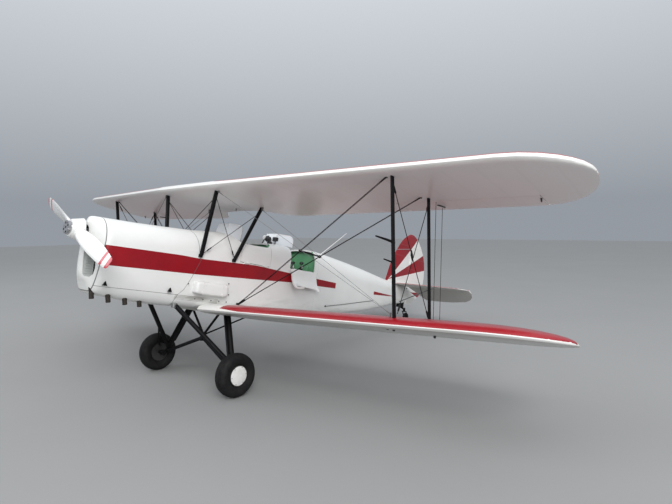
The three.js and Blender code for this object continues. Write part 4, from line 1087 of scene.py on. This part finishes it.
def small_fittings():
    """Bolt ends under the lower wing, aileron horns, brake pipes, radius rod brackets, stern post."""
    fittings = Piece()
    bolt = [(0, -0.016), (0.011, -0.014), (0.014, -0.004), (0.010, 0.050)]
    for sign in (1, -1):
        for x, y, z in BOLT_ENDS:
            fittings.lathe(bolt, (sign * x, y, z), (0, 0, 1), 12)
    fittings.make("wing_fittings", "panel", "black_panel")
    for side, sign in SIDES:
        horn = Piece()
        horn.tube([(sign * LINK_X, y, z) for y, z in HORN], [0.007, 0.009, 0.008], 10)
        horn.tube([(sign * 3.640, 2.440, 0.790), (sign * 3.642, 2.455, 0.745)], [0.012, 0.006], 10)
        horn.make("aileron_horn" + side, "panel", "black_panel", "aileron_upper" + side)
    pipes = Piece()
    for sign in (1, -1):
        pipes.tube([(sign * x, y, z) for x, y, z in BRAKE_PIPE], 0.011, 8)
    pipes.make("brake_pipes", "black", "black_steel")
    bracket = Piece()
    for sign in (1, -1):
        low, high = sorted((sign * 0.262, sign * 0.312))
        bracket.block((low, 0.912, -0.684), (high, 0.976, -0.634), 0.006)
    bracket.make("radius_rod_brackets", "alloy", "bare_alloy")
    post = Piece()
    post.tube([(0, 6.150, 0.063), (0, 6.190, -0.240)], 0.013, 10)
    post.make("stern_post", "strut", "black_steel")


# Cockpits: the cushion's rows as (z, inset), the belt's run behind and over it as (y, z), and the dials of
# each board as (x, z, radius), with y from the seat's middle
CUSHION = [(-0.249, 0.018), (-0.244, 0.004), (-0.225, 0.0), (-0.205, 0.010), (-0.196, 0.035), (-0.192, 0.09)]
CUSHION_HALF = (0.185, 0.160)
BELT = [(0.164, 0.060), (0.160, -0.06), (0.150, -0.15), (0.10, -0.188), (0, -0.188)]
BELT_X, BELT_HALF = (-0.09, 0.09), 0.022
DIALS = [
    (-0.17, 0.09, 0.04), (-0.06, 0.11, 0.04), (0.06, 0.11, 0.04), (0.17, 0.09, 0.04), (-0.11, 0.0, 0.033),
    (0.0, 0.0, 0.033), (0.11, 0.0, 0.033),
]


def cockpit_details():
    """Cushions, belts with their buckles, and dials in the two cockpits."""
    for name, y in (("front", 2.0), ("rear", 2.88)):
        pad = Piece()
        rows = []
        for z, inset in CUSHION:
            half = (CUSHION_HALF[0] - inset, CUSHION_HALF[1] - inset)
            rows.append(rounded_ring((0, y - 0.01), half, 0.5, 32, lambda u, v, z=z: (u, v, z)))
        pad.rings(rows)
        cushion = pad.make("cushion_" + name, "leather", "seat_shell")
        belts = Piece()
        for x in BELT_X:
            rows = []
            for dy, z in BELT:
                back, front = (y + dy, z), (y + dy - 0.003, z + 0.002)
                left, right = x - BELT_HALF, x + BELT_HALF
                rows.append([(left, *back), (right, *back), (right, *front), (left, *front)])
            belts.rings(rows)
        belts.make("belts_" + name, "panel", "seat_shell")
        buckle, tongue = Piece(), Piece()
        for x in BELT_X:
            buckle.block((x - 0.030, y + 0.140, 0.092), (x + 0.030, y + 0.172, 0.128), 0.005)
            strap = [(x + 0.01, y + 0.150, 0.13), (x + 0.05, y + 0.100, 0.060), (x + 0.07, y + 0.06, 0.02)]
            buckle.tube(strap, 0.008, 8)
            tongue.block((x + 0.010, y + 0.120, 0.030), (x + 0.055, y + 0.136, 0.070), 0.004)
        buckle.make("buckles_" + name, "panel", "black_panel")
        tongue.make("buckle_tongues_" + name, "white", "bare_alloy")
        dials, faces = Piece(), Piece()
        for x, z, r in DIALS:
            place = (x, y - 0.392, z)
            dials.lathe([(r * 0.82, 0.002), (r * 0.84, 0.007), (r, 0.005), (r, -0.002)], place, (0, 1, 0), 24)
            faces.lathe([(0, 0.0024), (r * 0.8, 0.0022), (r * 0.8, -0.002)], place, (0, 1, 0), 24)
        dials.make("dial_rims_" + name, "steel", "bare_alloy")
        faces.make("dial_faces_" + name, "white", "white_wheel")


# Studio: pale floor, a soft sky brighter overhead than at its edge, and two large lamps
FLOOR_COLOUR = (0.30, 0.30, 0.295, 1)
FLOOR_SHADE = tuple(0.96 * c for c in FLOOR_COLOUR[:3]) + (1,)
FLOOR_HALF = 60.0
SKY_EDGE, SKY_TOP = (0.30, 0.325, 0.36, 1), (0.92, 0.96, 1.02, 1)
LAMPS = (("key", (17, -13, 13), 14, 4100), ("fill", (-12, -12, 13), 14, 700))


def studio():
    mesh = bpy.data.meshes.new("floor")
    h = FLOOR_HALF
    mesh.from_pydata([(-h, -h, 0), (h, -h, 0), (h, h, 0), (-h, h, 0)], [], [[0, 1, 2, 3]])
    floor = bpy.data.objects.new("floor", mesh)
    bpy.context.scene.collection.objects.link(floor)
    s = Shader("floor", 0.9)
    s.colour(s.mix(s.spread(s.noise(0.4, 3), 0.3, 0.7), FLOOR_COLOUR, FLOOR_SHADE))
    mesh.materials.append(s.material)
    world = bpy.data.worlds.new("sky")
    world.use_nodes = True
    nodes, link = world.node_tree.nodes, world.node_tree.links.new
    place = nodes.new("ShaderNodeTexCoord")
    split = nodes.new("ShaderNodeSeparateXYZ")
    height = nodes.new("ShaderNodeMapRange")
    height.inputs["From Min"].default_value = 0.05
    height.inputs["From Max"].default_value = 0.75
    tint = nodes.new("ShaderNodeMix")
    tint.data_type = "RGBA"
    tint.inputs[6].default_value = SKY_EDGE
    tint.inputs[7].default_value = SKY_TOP
    link(place.outputs["Generated"], split.inputs[0])
    link(split.outputs[2], height.inputs[0])
    link(height.outputs[0], tint.inputs[0])
    link(tint.outputs[2], nodes["Background"].inputs[0])
    bpy.context.scene.world = world
    bpy.context.scene.view_settings.view_transform = "Standard"
    for name, where, size, power in LAMPS:
        data = bpy.data.lights.new(name, "AREA")
        data.shape = "DISK"
        data.size = size
        data.energy = power
        lamp = bpy.data.objects.new(name, data)
        lamp.location = where
        lamp.rotation_mode = "QUATERNION"
        lamp.rotation_quaternion = Vector(where).to_track_quat("Z", "Y")
        bpy.context.scene.collection.objects.link(lamp)


make_camera()
studio()
COWL_NODES = ("nose_bowl", "cowl_upper", "cowl_pan")
LINED_NODES = ("fuselage_forward", "fuselage_aft", "door_front")
smooth, smoother_still = smoother(38), smoother(58)
for node_name in FINISH:
    curved = node_name in COWL_NODES + LINED_NODES + ("door_rear",)
    dress(node_name, smoother_still if curved else smooth)
for node_name in LINED_NODES:
    line_inside(node_name, "green")
for node_name in COWL_NODES:
    line_inside(node_name, "primer")
cross_wires()
rigging()
aileron_links()
body_details()
hub_details()
wheels()
tank_cover()
inlet_duct()
screens()
deck_instruments()
small_fittings()
cockpit_details()
